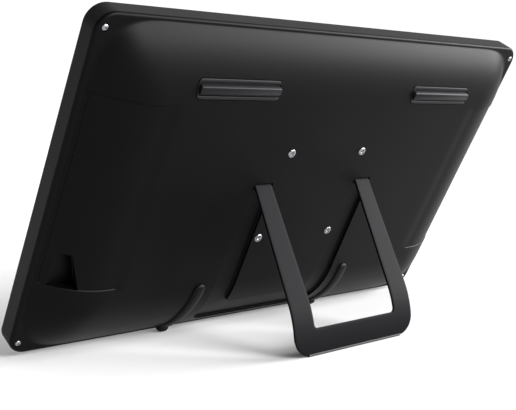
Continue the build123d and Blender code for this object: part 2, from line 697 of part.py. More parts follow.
def mount_plate():
    deck = plate(Pos(0, MOUNT_Z) * rounded(MOUNT_PLATE_W, MOUNT_PLATE_H, 4), PLATE_FRONT, PLATE_BACK)
    for x in (-MOUNT_PITCH / 2, MOUNT_PITCH / 2):
        for z in (MOUNT_Z - MOUNT_PITCH / 2, MOUNT_Z + MOUNT_PITCH / 2):
            deck -= rod_y(x, z, INSERT_R, PLATE_FRONT - 1, PLATE_BACK + 1)
    for x, z in post_places():
        deck -= rod_y(x, z, SMALL_SCREW_R + 0.15, PLATE_FRONT - 1, PLATE_BACK + 1)
    return deck


def mount_inserts():
    """Four flanged threaded inserts: the flange bears on the cover, the barrel passes the mount plate."""
    group = []
    for x in (-MOUNT_PITCH / 2, MOUNT_PITCH / 2):
        for z in (MOUNT_Z - MOUNT_PITCH / 2, MOUNT_Z + MOUNT_PITCH / 2):
            flange = rod_y(x, z, INSERT_FLANGE_R, CROWN_D, CROWN_D + INSERT_FLANGE_T)
            flange = chamfer(flange.edges().sort_by(Axis.Y)[-1], 0.8)
            insert = flange + rod_y(x, z, INSERT_R, CROWN_D - INSERT_L, CROWN_D)
            group.append(insert - rod_y(x, z, INSERT_HOLE_R, CROWN_D - INSERT_L + 1.5, CROWN_D + 5))
    return Compound(group)


def hinge_bracket(side):
    """Steel U: a base under the hinge pocket and an ear at each end of the pin."""
    z_low = HINGE_Z - BRACKET_SCREW_REACH - 5
    z_high = HINGE_Z + BRACKET_SCREW_REACH + 5
    base = block((EAR_IN - EAR_T, EAR_OUT + EAR_T), (BRACKET_LOW, BRACKET_TOP), (z_low, z_high))
    ear_top = HINGE_Y + PIN_R + EAR_MARGIN * 0.5
    z_ear = (HINGE_Z - EAR_MARGIN - PIN_R, HINGE_Z + EAR_MARGIN + PIN_R)
    ears = block((EAR_IN - EAR_T, EAR_IN), (BRACKET_LOW, ear_top), z_ear)
    ears += block((EAR_OUT, EAR_OUT + EAR_T), (BRACKET_LOW, ear_top), z_ear)
    bracket = base + ears - rod_x(HINGE_Y, HINGE_Z, PIN_R, 0, PANEL_W / 2)
    for x, z in bracket_screw_places():
        bracket -= rod_y(x, z, SMALL_SCREW_R + 0.15, BRACKET_LOW - 1, BRACKET_TOP + 1)
    return bracket if side > 0 else mirror(bracket, about=Plane.YZ)


def hinge_pin(side):
    pin = rod_x(HINGE_Y, HINGE_Z, PIN_R, EAR_IN - EAR_T - 0.4, EAR_OUT + EAR_T + WASHER_T + PIN_HEAD_T)
    head_x = EAR_OUT + EAR_T + WASHER_T
    pin += rod_x(HINGE_Y, HINGE_Z, PIN_HEAD_R, head_x, head_x + PIN_HEAD_T)
    return pin if side > 0 else mirror(pin, about=Plane.YZ)


def friction_washer(side):
    x = EAR_OUT + EAR_T
    ring = rod_x(HINGE_Y, HINGE_Z, PIN_HEAD_R, x, x + WASHER_T) - rod_x(HINGE_Y, HINGE_Z, PIN_R, x - 1, x + 2)
    return ring if side > 0 else mirror(ring, about=Plane.YZ)


# ---------------------------------------------------------------- boards
def board(x, z, width, height):
    low = CHASSIS_BACK + BOARD_STAND
    deck = plate(Pos(x, z) * rounded(width, height, 2), low, low + BOARD_T)
    for px, pz in board_screw_places(x, z, width, height):
        deck -= rod_y(px, pz, SMALL_SCREW_R + 0.15, low - 1, low + BOARD_T + 1)
    return deck


def board_screw_places(x, z, width, height):
    inset = 4.0
    reach_x = width / 2 - inset
    reach_z = height / 2 - inset
    return [(x + sx * reach_x, z + sz * reach_z) for sx in (-1, 1) for sz in (-1, 1)]


def all_board_places():
    return board_screw_places(MAIN_BOARD_X, MAIN_BOARD_Z, MAIN_BOARD_W, MAIN_BOARD_H) + board_screw_places(
        PEN_BOARD_X, PEN_BOARD_Z, PEN_BOARD_W, PEN_BOARD_H)


def board_posts():
    group = []
    for x, z in all_board_places():
        top = CHASSIS_BACK + BOARD_STAND
        group.append(rod_y(x, z, 2.6, CHASSIS_BACK, top) - rod_y(x, z, SMALL_SCREW_R, CHASSIS_BACK, top + 1))
    return Compound(group)


def board_screws():
    seat = CHASSIS_BACK + BOARD_STAND + BOARD_T
    return Compound([
        screw(x, z, seat, SMALL_SCREW_R, BOARD_T + 3.4, SMALL_HEAD_R, SMALL_HEAD_T, 1.1)
        for x, z in all_board_places()
    ])


def main_chips():
    """Processor, memory, power converters and the two ribbon sockets of the main board."""
    y = CHASSIS_BACK + BOARD_STAND + BOARD_T
    x0 = MAIN_BOARD_X
    z0 = MAIN_BOARD_Z
    sizes = [(-28, 6, 19, 19, 1.6), (-28, 26, 12, 8, 1.1), (24, 18, 9, 9, 1.2), (38, 18, 9, 9, 1.2),
             (30, -8, 14, 10, 4.2), (48, -8, 12, 12, 5.0), (-10, -34, 26, 5, 2.6), (30, -34, 26, 5, 2.6)]
    return Compound([
        block((x0 + x - w / 2, x0 + x + w / 2), (y, y + t), (z0 + z - h / 2, z0 + z + h / 2))
        for x, z, w, h, t in sizes
    ])


def shield_can():
    y = CHASSIS_BACK + BOARD_STAND + BOARD_T
    place = Pos(MAIN_BOARD_X - 28, MAIN_BOARD_Z + 12)
    can = plate(place * rounded(CAN_W, CAN_H, 1.5), y, y + CAN_T)
    hollow = rounded(CAN_W - 2 * CAN_WALL, CAN_H - 2 * CAN_WALL, 1.2)
    return can - plate(place * hollow, y - 1, y + CAN_T - CAN_WALL)


def pen_chips():
    y = CHASSIS_BACK + BOARD_STAND + BOARD_T
    sizes = [(-14, 2, 14, 14, 1.4), (8, 4, 8, 8, 1.1), (22, 4, 8, 8, 1.1), (0, -12, 26, 5, 2.6)]
    return Compound([
        block((PEN_BOARD_X + x - w / 2, PEN_BOARD_X + x + w / 2), (y, y + t),
              (PEN_BOARD_Z + z - h / 2, PEN_BOARD_Z + z + h / 2))
        for x, z, w, h, t in sizes
    ])


def ribbon_slots():
    """Slots in the chassis, just below each board, that the two flat cables come through."""
    return [(MAIN_BOARD_X - 10, MAIN_BOARD_Z - MAIN_BOARD_H / 2 - 8),
            (PEN_BOARD_X, PEN_BOARD_Z - PEN_BOARD_H / 2 - 8)]


def ribbon(slot, board_z, start):
    """Flat cable from a socket on a board, over its edge and through its slot in the chassis."""
    x, z = slot
    y = CHASSIS_BACK + BOARD_STAND + BOARD_T + 2.6
    side = (x - 10, x + 10)
    cable = block(side, (y, y + RIBBON_T), (z, board_z))
    cable += block(side, (start, y + RIBBON_T), (z, z + RIBBON_T))
    return cable + block(side, (start, start + RIBBON_T), (z, z + 1.6))


# ---------------------------------------------------------------- ports
def ports_board():
    deck = block((-28, -PORT_WALL - PORT_PLATE_T - 0.2), (PORT_BOARD_BACK - BOARD_T, PORT_BOARD_BACK),
                 (-PORT_SLOT_L / 2, PORT_SLOT_L / 2))
    deck -= block((-16, 0), (0, CROWN_D), (-PORT_PITCH - 4.4, -PORT_PITCH + 4.4))
    return PORTS * deck


def port_plate():
    """Plate behind the port wall, with a hole for each socket."""
    x = (-PORT_WALL - PORT_PLATE_T, -PORT_WALL)
    y = (PORT_Y - PORT_PLATE_H / 2, PORT_Y + PORT_PLATE_H / 2)
    deck = block(x, y, (-PORT_PLATE_L / 2, PORT_PLATE_L / 2))
    for z in (PORT_PITCH, 0):
        deck -= oblong_x(USB_W + 2 * SOCKET_FIT, USB_H + 2 * SOCKET_FIT, x[0] - 1, x[1] + 1, PORT_Y, z)
    deck -= rod_x(PORT_Y, -PORT_PITCH, POWER_R + SOCKET_FIT, x[0] - 1, x[1] + 1)
    return PORTS * deck


def usb_socket(z):
    """Oblong metal shell with a contact tongue inside."""
    face = -PORT_WALL
    shell = oblong_x(USB_W, USB_H, face - USB_DEPTH, face, PORT_Y, z)
    end = face - USB_DEPTH
    shell -= oblong_x(USB_W - 2 * USB_WALL, USB_H - 2 * USB_WALL, end + USB_END_WALL, face + 1, PORT_Y, z)
    half = USB_TONGUE_T / 2
    tongue = block((end + USB_END_WALL / 2, face - USB_TONGUE_SET_BACK), (PORT_Y - half, PORT_Y + half),
                   (z - USB_TONGUE_W / 2, z + USB_TONGUE_W / 2))
    return PORTS * (shell + tongue)


def power_socket():
    """Round socket with a centre pin."""
    face = -PORT_WALL
    body = rod_x(PORT_Y, -PORT_PITCH, POWER_R, face - POWER_DEPTH - 2, face)
    body -= rod_x(PORT_Y, -PORT_PITCH, POWER_BORE_R, face - POWER_DEPTH, face + 1)
    body += rod_x(PORT_Y, -PORT_PITCH, POWER_PIN_R, face - POWER_DEPTH - 1, face - 1)
    return PORTS * body


# ---------------------------------------------------------------- buttons
def button(z):
    edge = -PANEL_W / 2
    cap = oblong_x(BUTTON_L, BUTTON_W, edge + BUTTON_SINK, -FLANGE_X + 0.1, BUTTON_Y, z)
    flange = oblong_x(BUTTON_L + 2.4, BUTTON_W + 2.0, -FLANGE_X, -FLANGE_X + BUTTON_FLANGE, BUTTON_Y, z)
    return cap + flange


def button_board():
    ends = (BUTTON_Z - 2 * BUTTON_PITCH - 12, BUTTON_Z + 12)
    return block((-BUTTON_BOARD_X, -BUTTON_BOARD_X + 1.0), (BUTTON_Y - 4, BUTTON_Y + 4), ends)


def button_switches():
    half = SWITCH_SIZE / 2
    group = []
    for z in button_heights():
        y = (BUTTON_Y - half, BUTTON_Y + half)
        body = block((-SWITCH_FACE + SWITCH_TIP, -BUTTON_BOARD_X), y, (z - half, z + half))
        tip = rod_x(BUTTON_Y, z, SWITCH_TIP_R, -SWITCH_FACE, -SWITCH_FACE + SWITCH_TIP + 0.1)
        group.append(body + tip)
    return Compound(group)


def button_holder():
    """Bracket that carries the button board on the shelf of the frame."""
    ends = (BUTTON_Z - 2 * BUTTON_PITCH - 12, BUTTON_Z + 12)
    x = -BUTTON_BOARD_X + 1.0
    wall = block((x, x + 1.2), (SHELF_BACK, BUTTON_Y + 4), ends)
    return wall


# ---------------------------------------------------------------- the assembly
STAND = kickstand()

nodes = {
    "cover_glass": plate(panel_outline(GLASS_INSET), FRONT_Y, GLASS_BACK),
    "glass_gasket": glass_gasket(),
    "lcd_cell": plate(Rectangle(CELL_W, CELL_H), GLASS_BACK, CELL_BACK),
    "diffuser_stack": plate(Rectangle(CELL_W - 1, CELL_H - 1), DIFFUSER_FRONT, GUIDE_FRONT),
    "light_guide": plate(guide_outline(), GUIDE_FRONT, REFLECTOR_FRONT),
    "reflector_sheet": plate(guide_outline(), REFLECTOR_FRONT, TRAY_FRONT),
    "light_bar": light_bar(),
    "light_chips": light_chips(),
    "panel_tray": panel_tray(),
    "pen_sensor_sheet": plate(rounded(CELL_W - 6, CELL_H - 6, 2), SENSOR_FRONT, SHIELD_FRONT),
    "pen_sensor_shield": plate(rounded(CELL_W - 8, CELL_H - 8, 2), SHIELD_FRONT, SHIELD_FRONT + SHIELD_T),
    "mid_frame": mid_frame(),
    "chassis_plate": chassis_plate(),
    "chassis_screws": small_screws(chassis_screw_places(), CHASSIS_BACK),
    "mount_posts": posts(post_places(), PLATE_FRONT),
    "mount_plate": mount_plate(),
    "mount_post_screws": small_screws(post_places(), PLATE_BACK),
    "mount_inserts": mount_inserts(),
    "bracket_posts": posts(bracket_screw_places(), BRACKET_LOW),
    "bracket_screws": small_screws(bracket_screw_places(), BRACKET_TOP),
    "hinge_bracket_right": hinge_bracket(1),
    "hinge_bracket_left": hinge_bracket(-1),
    "hinge_pin_right": hinge_pin(1),
    "hinge_pin_left": hinge_pin(-1),
    "friction_washer_right": friction_washer(1),
    "friction_washer_left": friction_washer(-1),
    "main_board": board(MAIN_BOARD_X, MAIN_BOARD_Z, MAIN_BOARD_W, MAIN_BOARD_H),
    "main_board_chips": main_chips(),
    "shield_can": shield_can(),
    "pen_board": board(PEN_BOARD_X, PEN_BOARD_Z, PEN_BOARD_W, PEN_BOARD_H),
    "pen_board_chips": pen_chips(),
    "board_posts": board_posts(),
    "board_screws": board_screws(),
    "panel_ribbon": ribbon(ribbon_slots()[0], MAIN_BOARD_Z - MAIN_BOARD_H / 2 + 8, SHIELD_FRONT + SHIELD_T),
    "pen_ribbon": ribbon(ribbon_slots()[1], PEN_BOARD_Z - PEN_BOARD_H / 2 + 5, SHIELD_FRONT + SHIELD_T),
    "ports_board": ports_board(),
    "port_plate": port_plate(),
    "usb_socket_upper": usb_socket(PORT_PITCH),
    "usb_socket_lower": usb_socket(0),
    "power_socket": power_socket(),
    "power_button": button(button_heights()[0]),
    "brighter_button": button(button_heights()[1]),
    "dimmer_button": button(button_heights()[2]),
    "button_board": button_board(),
    "button_switches": button_switches(),
    "button_holder": button_holder(),
    "rear_cover": rear_cover(),
    "cover_screws": Compound([
        screw(x, z, -SCREW_SINK, SCREW_R, COVER_SCREW_L, SCREW_HEAD_R, SCREW_HEAD_T, 1.4)
        for x in (-SCREW_X, SCREW_X) for z in (-SCREW_Z, SCREW_Z)
    ]),
    "rubber_foot_right": rubber_foot(1),
    "rubber_foot_left": rubber_foot(-1),
    "rest_pad_right": rest_pad(1),
    "rest_pad_left": rest_pad(-1),
    "kickstand": STAND,
    "stand_foot_strip": stand_foot_strip(STAND),
}

# The stand swings out about its pins, then the whole panel leans back until toes and strip share a floor.
HINGE = Pos(0, HINGE_Y, HINGE_Z)
SWING = HINGE * Rot(STAND_OPEN, 0, 0) * HINGE.inverse()
for name in ("kickstand", "stand_foot_strip"):
    nodes[name] = SWING * nodes[name]

turn = math.radians(STAND_OPEN)
tip_y = HINGE_Y + (TIP_Y - HINGE_Y) * math.cos(turn) - (TIP_Z - HINGE_Z) * math.sin(turn)
tip_z = HINGE_Z + (TIP_Y - HINGE_Y) * math.sin(turn) + (TIP_Z - HINGE_Z) * math.cos(turn)
reach = math.hypot(tip_y - TOE_Y, tip_z - TOE_Z)
LEAN = math.atan2(tip_z - TOE_Z, tip_y - TOE_Y) + math.asin((TOE_R - STRIP_R) / reach)
LEANED = Rot(-math.degrees(LEAN), 0, 0)


def leaned(y, z):
    return y * math.cos(LEAN) + z * math.sin(LEAN), z * math.cos(LEAN) - y * math.sin(LEAN)


floor_z = leaned(TOE_Y, TOE_Z)[1] - TOE_R
front_y = leaned(FRONT_Y, -PANEL_H / 2)[0]
frame_box = (LEANED * nodes["mid_frame"]).bounding_box()
strip_box = (LEANED * nodes["stand_foot_strip"]).bounding_box()
back_y = max(strip_box.max.Y, frame_box.max.Y)
PLACE = Pos(0, -(frame_box.min.Y + back_y) / 2, -floor_z) * LEANED

os.makedirs("parts", exist_ok=True)
for name, shape in nodes.items():
    export_step(PLACE * shape, f"parts/{name}.step")

hinge_y, hinge_z = leaned(HINGE_Y, HINGE_Z)
mount_y, mount_z = leaned(CROWN_D + INSERT_FLANGE_T, MOUNT_Z)
shift_y = -(frame_box.min.Y + back_y) / 2
print(f"lean {math.degrees(LEAN):.3f} degrees from upright")
print(f"shift y {shift_y:.3f} z {-floor_z:.3f}")
print(f"hinge axis y {hinge_y + shift_y:.3f} z {hinge_z - floor_z:.3f}")
print(f"mount centre y {mount_y + shift_y:.3f} z {mount_z - floor_z:.3f}")
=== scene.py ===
# %% [markdown]
# # A pen display on its folding stand, seen from behind
#
# The object is a large drawing tablet with its own screen. Its frame, screws, boards and hinge come from
# the CAD model and stay where they are. This lesson gives them finishes, and it makes again the pieces
# that need smoother or finer surfaces than the CAD gives: the crowned rear cover, the bent stand, the
# rubber feet and pads, the screws and the threaded inserts.

# %% The CAD frame
import json
import math

import bmesh
import bpy
import numpy as np
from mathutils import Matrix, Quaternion, Vector


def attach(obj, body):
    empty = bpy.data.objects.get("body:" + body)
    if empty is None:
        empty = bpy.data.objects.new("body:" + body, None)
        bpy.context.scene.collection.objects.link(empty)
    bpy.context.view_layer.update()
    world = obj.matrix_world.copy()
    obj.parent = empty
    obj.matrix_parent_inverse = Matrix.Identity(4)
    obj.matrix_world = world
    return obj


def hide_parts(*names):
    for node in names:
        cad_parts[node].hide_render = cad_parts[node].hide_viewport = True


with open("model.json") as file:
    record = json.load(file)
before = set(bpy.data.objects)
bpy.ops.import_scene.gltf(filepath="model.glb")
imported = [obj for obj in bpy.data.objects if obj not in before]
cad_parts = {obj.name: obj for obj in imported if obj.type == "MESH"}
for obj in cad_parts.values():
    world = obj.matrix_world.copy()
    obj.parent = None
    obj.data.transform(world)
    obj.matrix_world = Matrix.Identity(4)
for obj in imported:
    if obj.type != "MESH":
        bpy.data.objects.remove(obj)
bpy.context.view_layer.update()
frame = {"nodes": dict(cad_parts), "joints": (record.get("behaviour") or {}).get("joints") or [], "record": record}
nodes = frame["nodes"]
mounts = {m["name"]: m for m in frame["record"]["mounts"]}
hinge = next(j for j in frame["joints"] if j["name"] == "stand_hinge")

# %% [markdown]
# The panel leans back, but its shape is much easier to write down upright. So each new piece is worked
# out in the panel's own directions, in millimetres: X to the right of someone at the screen, Y through
# the thickness with 0 on the rear rim, and Z up the panel. The lean and the place come from the CAD
# model's arm mount, whose centre and direction are in its record.

# %% From the panel's own directions to the scene
PANEL_W, PANEL_H, CORNER_R = 566.0, 346.0, 18.0
RIM_D, RIM_ROUND = 3.5, 3.0
CROWN_D = 27.0
MOUNT_Z, MOUNT_PITCH = 6.0, 100.0
INSERT_PROUD = 1.3
LEAN = math.atan2(-mounts["arm_mount"]["axis"][2], mounts["arm_mount"]["axis"][1])
STAND_OPEN = math.radians(-hinge["range_deg"][0])


def lean(points):
    """Turns points about X so that the panel's top goes back: Y and Z mix by the lean's cosine and sine."""
    c, s = math.cos(LEAN), math.sin(LEAN)
    x, y, z = points[..., 0], points[..., 1], points[..., 2]
    return np.stack([x, y * c + z * s, z * c - y * s], axis=-1)


MOUNT_CENTRE = np.array([0.0, CROWN_D + INSERT_PROUD, MOUNT_Z])
SHIFT = np.array(mounts["arm_mount"]["pos_m"]) - lean(MOUNT_CENTRE) / 1000


def to_scene(points):
    """Panel millimetres to scene metres: lean, then move."""
    return lean(np.asarray(points, float)) / 1000 + SHIFT


print("lean", round(math.degrees(LEAN), 2), "stand open", round(math.degrees(STAND_OPEN), 1))

# %% [markdown]
# The camera comes first, since everything is judged through it. It stands behind the tablet on the side
# of the port pocket, a little higher than the panel's middle, with a lens a bit longer than the eye's
# view.

# %% Camera
CAMERA_AT = (0.6584, 0.6993, 0.2261)
CAMERA_AIM = (0.0311, 0.0, 0.1451)
CAMERA_ROLL = math.radians(0.25)
LENS_MM = 63.88
SHIFT_X, SHIFT_Y = -0.0192, -0.0198

scene = bpy.context.scene
camera_data = bpy.data.cameras.new("camera")
camera_data.lens = LENS_MM
camera_data.sensor_width = 36
camera_data.shift_x = SHIFT_X
camera_data.shift_y = SHIFT_Y
camera_data.clip_end = 50
camera = bpy.data.objects.new("camera", camera_data)
scene.collection.objects.link(camera)
camera.location = CAMERA_AT
camera.rotation_mode = "QUATERNION"
sight = Vector(CAMERA_AIM) - Vector(CAMERA_AT)
camera.rotation_quaternion = sight.to_track_quat("-Z", "Y") @ Quaternion((0, 0, 1), CAMERA_ROLL)
scene.camera = camera
print("camera", CAMERA_AT, "lens", LENS_MM)

# %% [markdown]
# The light is a product studio's. Two soft sources stand at the rear of the tablet, across from the
# camera and about twenty degrees up, where the rolled top of the cover mirrors them: that gives the
# bright band along the top, which fades down the slope. The room is white beyond the tablet and grey
# behind the camera, so that black plastic facing the grey side stays black. The flat of the back leans,
# faces down and mirrors the floor.

# %% Floor, room and lights
FLOOR_WHITE = "#dadada"
KEYS_FROM = {"key_right": (-0.93, 0.5, 0.38), "key_left": (-0.3, 0.95, 0.38)}
KEY_STRENGTH, KEY_SPREAD = 5.4, math.radians(32)
ROOM_WHITE, ROOM_GREY = 1.05, 0.38
WHITE_SIDE = (-0.67, -0.74, 0.0)
FADE_FROM, FADE_TO = 0.25, 0.8


def linear(code):
    """An sRGB hex colour as linear red, green, blue and alpha."""
    parts = np.array([int(code[i:i + 2], 16) for i in (1, 3, 5)]) / 255
    return (*np.where(parts <= 0.04045, parts / 12.92, ((parts + 0.055) / 1.055) ** 2.4), 1.0)


def studio_room():
    """World light that is white towards one side and grey towards the other."""
    world = bpy.data.worlds.new("studio_room")
    world.use_nodes = True
    tree = world.node_tree
    tree.nodes["Background"].inputs["Color"].default_value = linear("#ffffff")
    way = tree.nodes.new("ShaderNodeTexCoord")
    facing = tree.nodes.new("ShaderNodeVectorMath")
    facing.operation = "DOT_PRODUCT"
    facing.inputs[1].default_value = Vector(WHITE_SIDE).normalized()
    fade = tree.nodes.new("ShaderNodeMapRange")
    fade.interpolation_type = "SMOOTHSTEP"
    ends = {"From Min": FADE_FROM, "From Max": FADE_TO, "To Min": ROOM_GREY, "To Max": ROOM_WHITE}
    for name, value in ends.items():
        fade.inputs[name].default_value = value
    tree.links.new(way.outputs["Generated"], facing.inputs[0])
    tree.links.new(facing.outputs["Value"], fade.inputs["Value"])
    tree.links.new(fade.outputs["Result"], tree.nodes["Background"].inputs["Strength"])
    return world


scene.world = studio_room()
scene.view_settings.view_transform = "Standard"
for name, place in KEYS_FROM.items():
    key_data = bpy.data.lights.new(name, "SUN")
    key_data.energy = KEY_STRENGTH
    key_data.angle = KEY_SPREAD
    key = bpy.data.objects.new(name, key_data)
    key.rotation_mode = "QUATERNION"
    key.rotation_quaternion = (-Vector(place)).to_track_quat("-Z", "Y")
    scene.collection.objects.link(key)

floor_mesh = bpy.data.meshes.new("studio_floor")
floor_mesh.from_pydata([(-6, -6, 0), (6, -6, 0), (6, 6, 0), (-6, 6, 0)], [], [(0, 1, 2, 3)])
floor = bpy.data.objects.new("studio_floor", floor_mesh)
scene.collection.objects.link(floor)

# %% [markdown]
# Each finish is worked out from its real material. One helper adds a shader node. The pattern scales are
# real sizes in millimetres: object coordinates are in metres here, so a grain of one millimetre is a
# scale of 1000.

# %% One helper for the shader nodes
def add(material, kind, settings=None, **sockets):
    """Adds a shader node, sets its settings, and gives its sockets a value or another node's output."""
    tree = material.node_tree
    made = tree.nodes.new(kind)
    for name, value in (settings or {}).items():
        setattr(made, name, value)
    for name, value in sockets.items():
        socket = made.inputs[int(name[1:])] if name[0] == "_" else made.inputs[name.replace("_", " ")]
        if isinstance(value, bpy.types.NodeSocket):
            tree.links.new(value, socket)
        else:
            socket.default_value = value
    return made


def blank(name):
    """A new material with an empty node tree."""
    material = bpy.data.materials.new(name)
    material.use_nodes = True
    material.node_tree.nodes.clear()
    return material


def shade(material, shader):
    add(material, "ShaderNodeOutputMaterial", Surface=shader.outputs["BSDF"])
    return material


def grained(name, dark, light, rough, grain_mm, relief_mm, cloud_mm=40, **shader):
    """A moulded, cast or rolled finish.

    The colour wanders between two shades in soft clouds, the roughness between two values, and a fine grain
    stands up from the surface by relief_mm.
    """
    material = blank(name)
    place = add(material, "ShaderNodeTexCoord").outputs["Object"]
    cloud = add(material, "ShaderNodeTexNoise", Vector=place, Scale=1000 / cloud_mm, Detail=3.0)
    grain = add(material, "ShaderNodeTexNoise", Vector=place, Scale=1000 / grain_mm, Detail=2.0)
    colour = add(material, "ShaderNodeMix", {"data_type": "RGBA"}, Factor=cloud.outputs["Fac"],
                 _6=linear(dark), _7=linear(light))
    gloss = add(material, "ShaderNodeMapRange", Value=grain.outputs["Fac"], To_Min=rough[0], To_Max=rough[1])
    bump = add(material, "ShaderNodeBump", Height=grain.outputs["Fac"], Strength=1.0,
               Distance=relief_mm / 1000)
    surface = add(material, "ShaderNodeBsdfPrincipled", Base_Color=colour.outputs[2],
                  Roughness=gloss.outputs["Result"], Normal=bump.outputs["Normal"], **shader)
    return shade(material, surface)


# %% [markdown]
# The casing is ABS, moulded against a spark-eroded tool: nearly black, satin, with a grain too fine to
# see as dots but enough to spread a highlight. The side band is the same plastic with a slightly coarser
# grain, which makes it look greyer. The stand is sheet steel under a thin satin paint with a little
# violet in its grey.

# %% Casing, stand and rubber
finishes = {
    "cover_plastic": grained("moulded_abs_cover", "#020202", "#040404", (0.4, 0.46), 0.6, 0.006,
                             Specular_IOR_Level=0.07),
    "frame_plastic": grained("moulded_abs_band", "#0a0a0b", "#0e0e0f", (0.5, 0.58), 0.5, 0.015,
                             Specular_IOR_Level=0.14),
    "button_plastic": grained("moulded_abs_keys", "#0e0e0f", "#151516", (0.3, 0.38), 0.4, 0.01),
    "port_plastic": grained("moulded_abs_port_plate", "#0b0b0c", "#111112", (0.5, 0.6), 0.4, 0.02),
    "socket_plastic": grained("moulded_pbt_socket", "#0a0a0a", "#101010", (0.45, 0.55), 0.3, 0.01),
    "stand_paint": grained("satin_painted_steel", "#08070a", "#0b0a0d", (0.45, 0.52), 0.7, 0.012,
                           Specular_IOR_Level=0.04),
    "foot_rubber": grained("moulded_silicone_foot", "#060607", "#09090a", (0.42, 0.5), 0.5, 0.015,
                           Specular_IOR_Level=0.12),
    "pad_rubber": grained("moulded_silicone_pad", "#0c0c0f", "#111114", (0.4, 0.48), 0.5, 0.012,
                          Specular_IOR_Level=0.16),
    "strip_rubber": grained("extruded_silicone_strip", "#141415", "#1b1b1c", (0.6, 0.7), 0.4, 0.02),
    "gasket_foam": grained("closed_cell_foam_tape", "#0b0b0b", "#161616", (0.8, 0.95), 0.3, 0.08),
}
print("finishes", len(finishes))

# %% [markdown]
# The metals: turned and plated steel for screws and inserts, pressed aluminium inside, brass posts, and a
# ground steel pin in each hinge. Nickel is smooth and bright. Zinc and tin are duller, in small soft
# clouds.

# %% Metals
metal = {"Metallic": 1.0}
finishes.update({
    "insert_steel": grained("nickel_plated_insert", "#8c8c90", "#a6a6aa", (0.2, 0.3), 0.4, 0.004, **metal),
    "screw_steel": grained("nickel_plated_screw", "#88888d", "#a2a2a7", (0.22, 0.34), 0.4, 0.004, **metal),
    "zinc_steel": grained("zinc_plated_steel", "#8d9196", "#b4b8ba", (0.3, 0.45), 0.5, 0.01, 6, **metal),
    "plated_steel": grained("zinc_plated_screw", "#90949a", "#b9bcc0", (0.26, 0.38), 0.4, 0.006, **metal),
    "pin_steel": grained("ground_steel_pin", "#85868a", "#a8a9ad", (0.18, 0.28), 0.3, 0.003, **metal),
    "tray_aluminium": grained("pressed_aluminium_tray", "#9a9ca0", "#b6b8bb", (0.32, 0.42), 0.5, 0.008,
                              **metal),
    "chassis_aluminium": grained("pressed_aluminium_chassis", "#8f9194", "#abadb0", (0.34, 0.45), 0.5, 0.01,
                                 **metal),
    "shield_foil": grained("rolled_aluminium_foil", "#b2b3b5", "#cfd0d1", (0.2, 0.36), 1.5, 0.05, **metal),
    "tinned_steel": grained("tinned_steel_can", "#a3a5a4", "#c0c2c0", (0.26, 0.4), 0.6, 0.01, 8, **metal),
    "socket_steel": grained("drawn_steel_shell", "#8e9094", "#b0b2b6", (0.24, 0.34), 0.3, 0.004, **metal),
    "brass_post": grained("turned_brass_post", "#a5834a", "#c09c5c", (0.25, 0.35), 0.3, 0.005, **metal),
})

# %% [markdown]
# Films, glass and circuit boards fill the inside. They are hidden in the closed tablet, but a part in a
# library is also taken apart, so they get the colour and the sheen of the real thing.

# %% Films, boards and glass
finishes.update({
    "cell_glass": grained("laminated_cell_glass", "#131317", "#1a1a20", (0.08, 0.14), 2, 0.001, IOR=1.52),
    "diffuser_film": grained("matt_diffuser_film", "#e4e4e2", "#f0f0ee", (0.6, 0.75), 0.3, 0.01),
    "guide_acrylic": grained("cast_acrylic_guide", "#d8e4e2", "#e6f0ee", (0.05, 0.1), 1.5, 0.002, IOR=1.49),
    "white_film": grained("white_polyester_film", "#eeeeea", "#f8f8f5", (0.3, 0.4), 0.5, 0.003),
    "white_circuit": grained("white_solder_mask", "#d6d6cf", "#e6e6e0", (0.35, 0.5), 0.3, 0.01),
    "led_package": grained("phosphor_over_led", "#e2cf6a", "#f0df82", (0.3, 0.42), 0.3, 0.01),
    "sensor_circuit": grained("sensor_solder_mask", "#0d3a22", "#14492c", (0.3, 0.42), 0.4, 0.008),
    "green_circuit": grained("green_solder_mask", "#0b3d20", "#125030", (0.28, 0.4), 0.35, 0.012),
    "chip_epoxy": grained("moulded_epoxy_package", "#111112", "#19191a", (0.45, 0.6), 0.3, 0.01),
    "ribbon_film": grained("polyimide_ribbon", "#8a5a1c", "#a06c26", (0.25, 0.36), 0.5, 0.004),
    "screen_glass": grained("etched_cover_glass", "#050506", "#08080a", (0.22, 0.3), 0.4, 0.002, IOR=1.52),
    "floor_paper": grained("white_studio_paper", FLOOR_WHITE, "#dedede", (0.85, 0.95), 1.5, 0.02),
})

slots = {part["node"]: part["material_slot"] for part in frame["record"]["subparts"]}
for name, slot in slots.items():
    own = nodes[name].data.materials
    own.clear()
    own.append(finishes[slot])
floor.data.materials.append(finishes["floor_paper"])
print("finished CAD nodes", len(slots), "finishes", len(finishes))

# %% [markdown]
# Every new piece is a thin solid between two surfaces: the side that is seen and the side that is hidden.
# Each surface is a grid of points from a formula, worked out for the whole array at once. The two grids
# are sewn together along their borders, so the piece is closed by construction.

# %% Two grids sewn into a closed piece
def quads(rows, cols):
    """Four-sided faces of a grid, as numbers of its points."""
    row, col = np.mgrid[0:rows - 1, 0:cols - 1]
    first = row * cols + col
    return np.stack([first, first + 1, first + cols + 1, first + cols], -1).reshape(-1, 4)


def border(rows, cols):
    """Numbers of a grid's border points, once round."""
    number = np.arange(rows * cols).reshape(rows, cols)
    return np.concatenate([number[0, :-1], number[:-1, -1], number[-1, :0:-1], number[:0:-1, 0]])


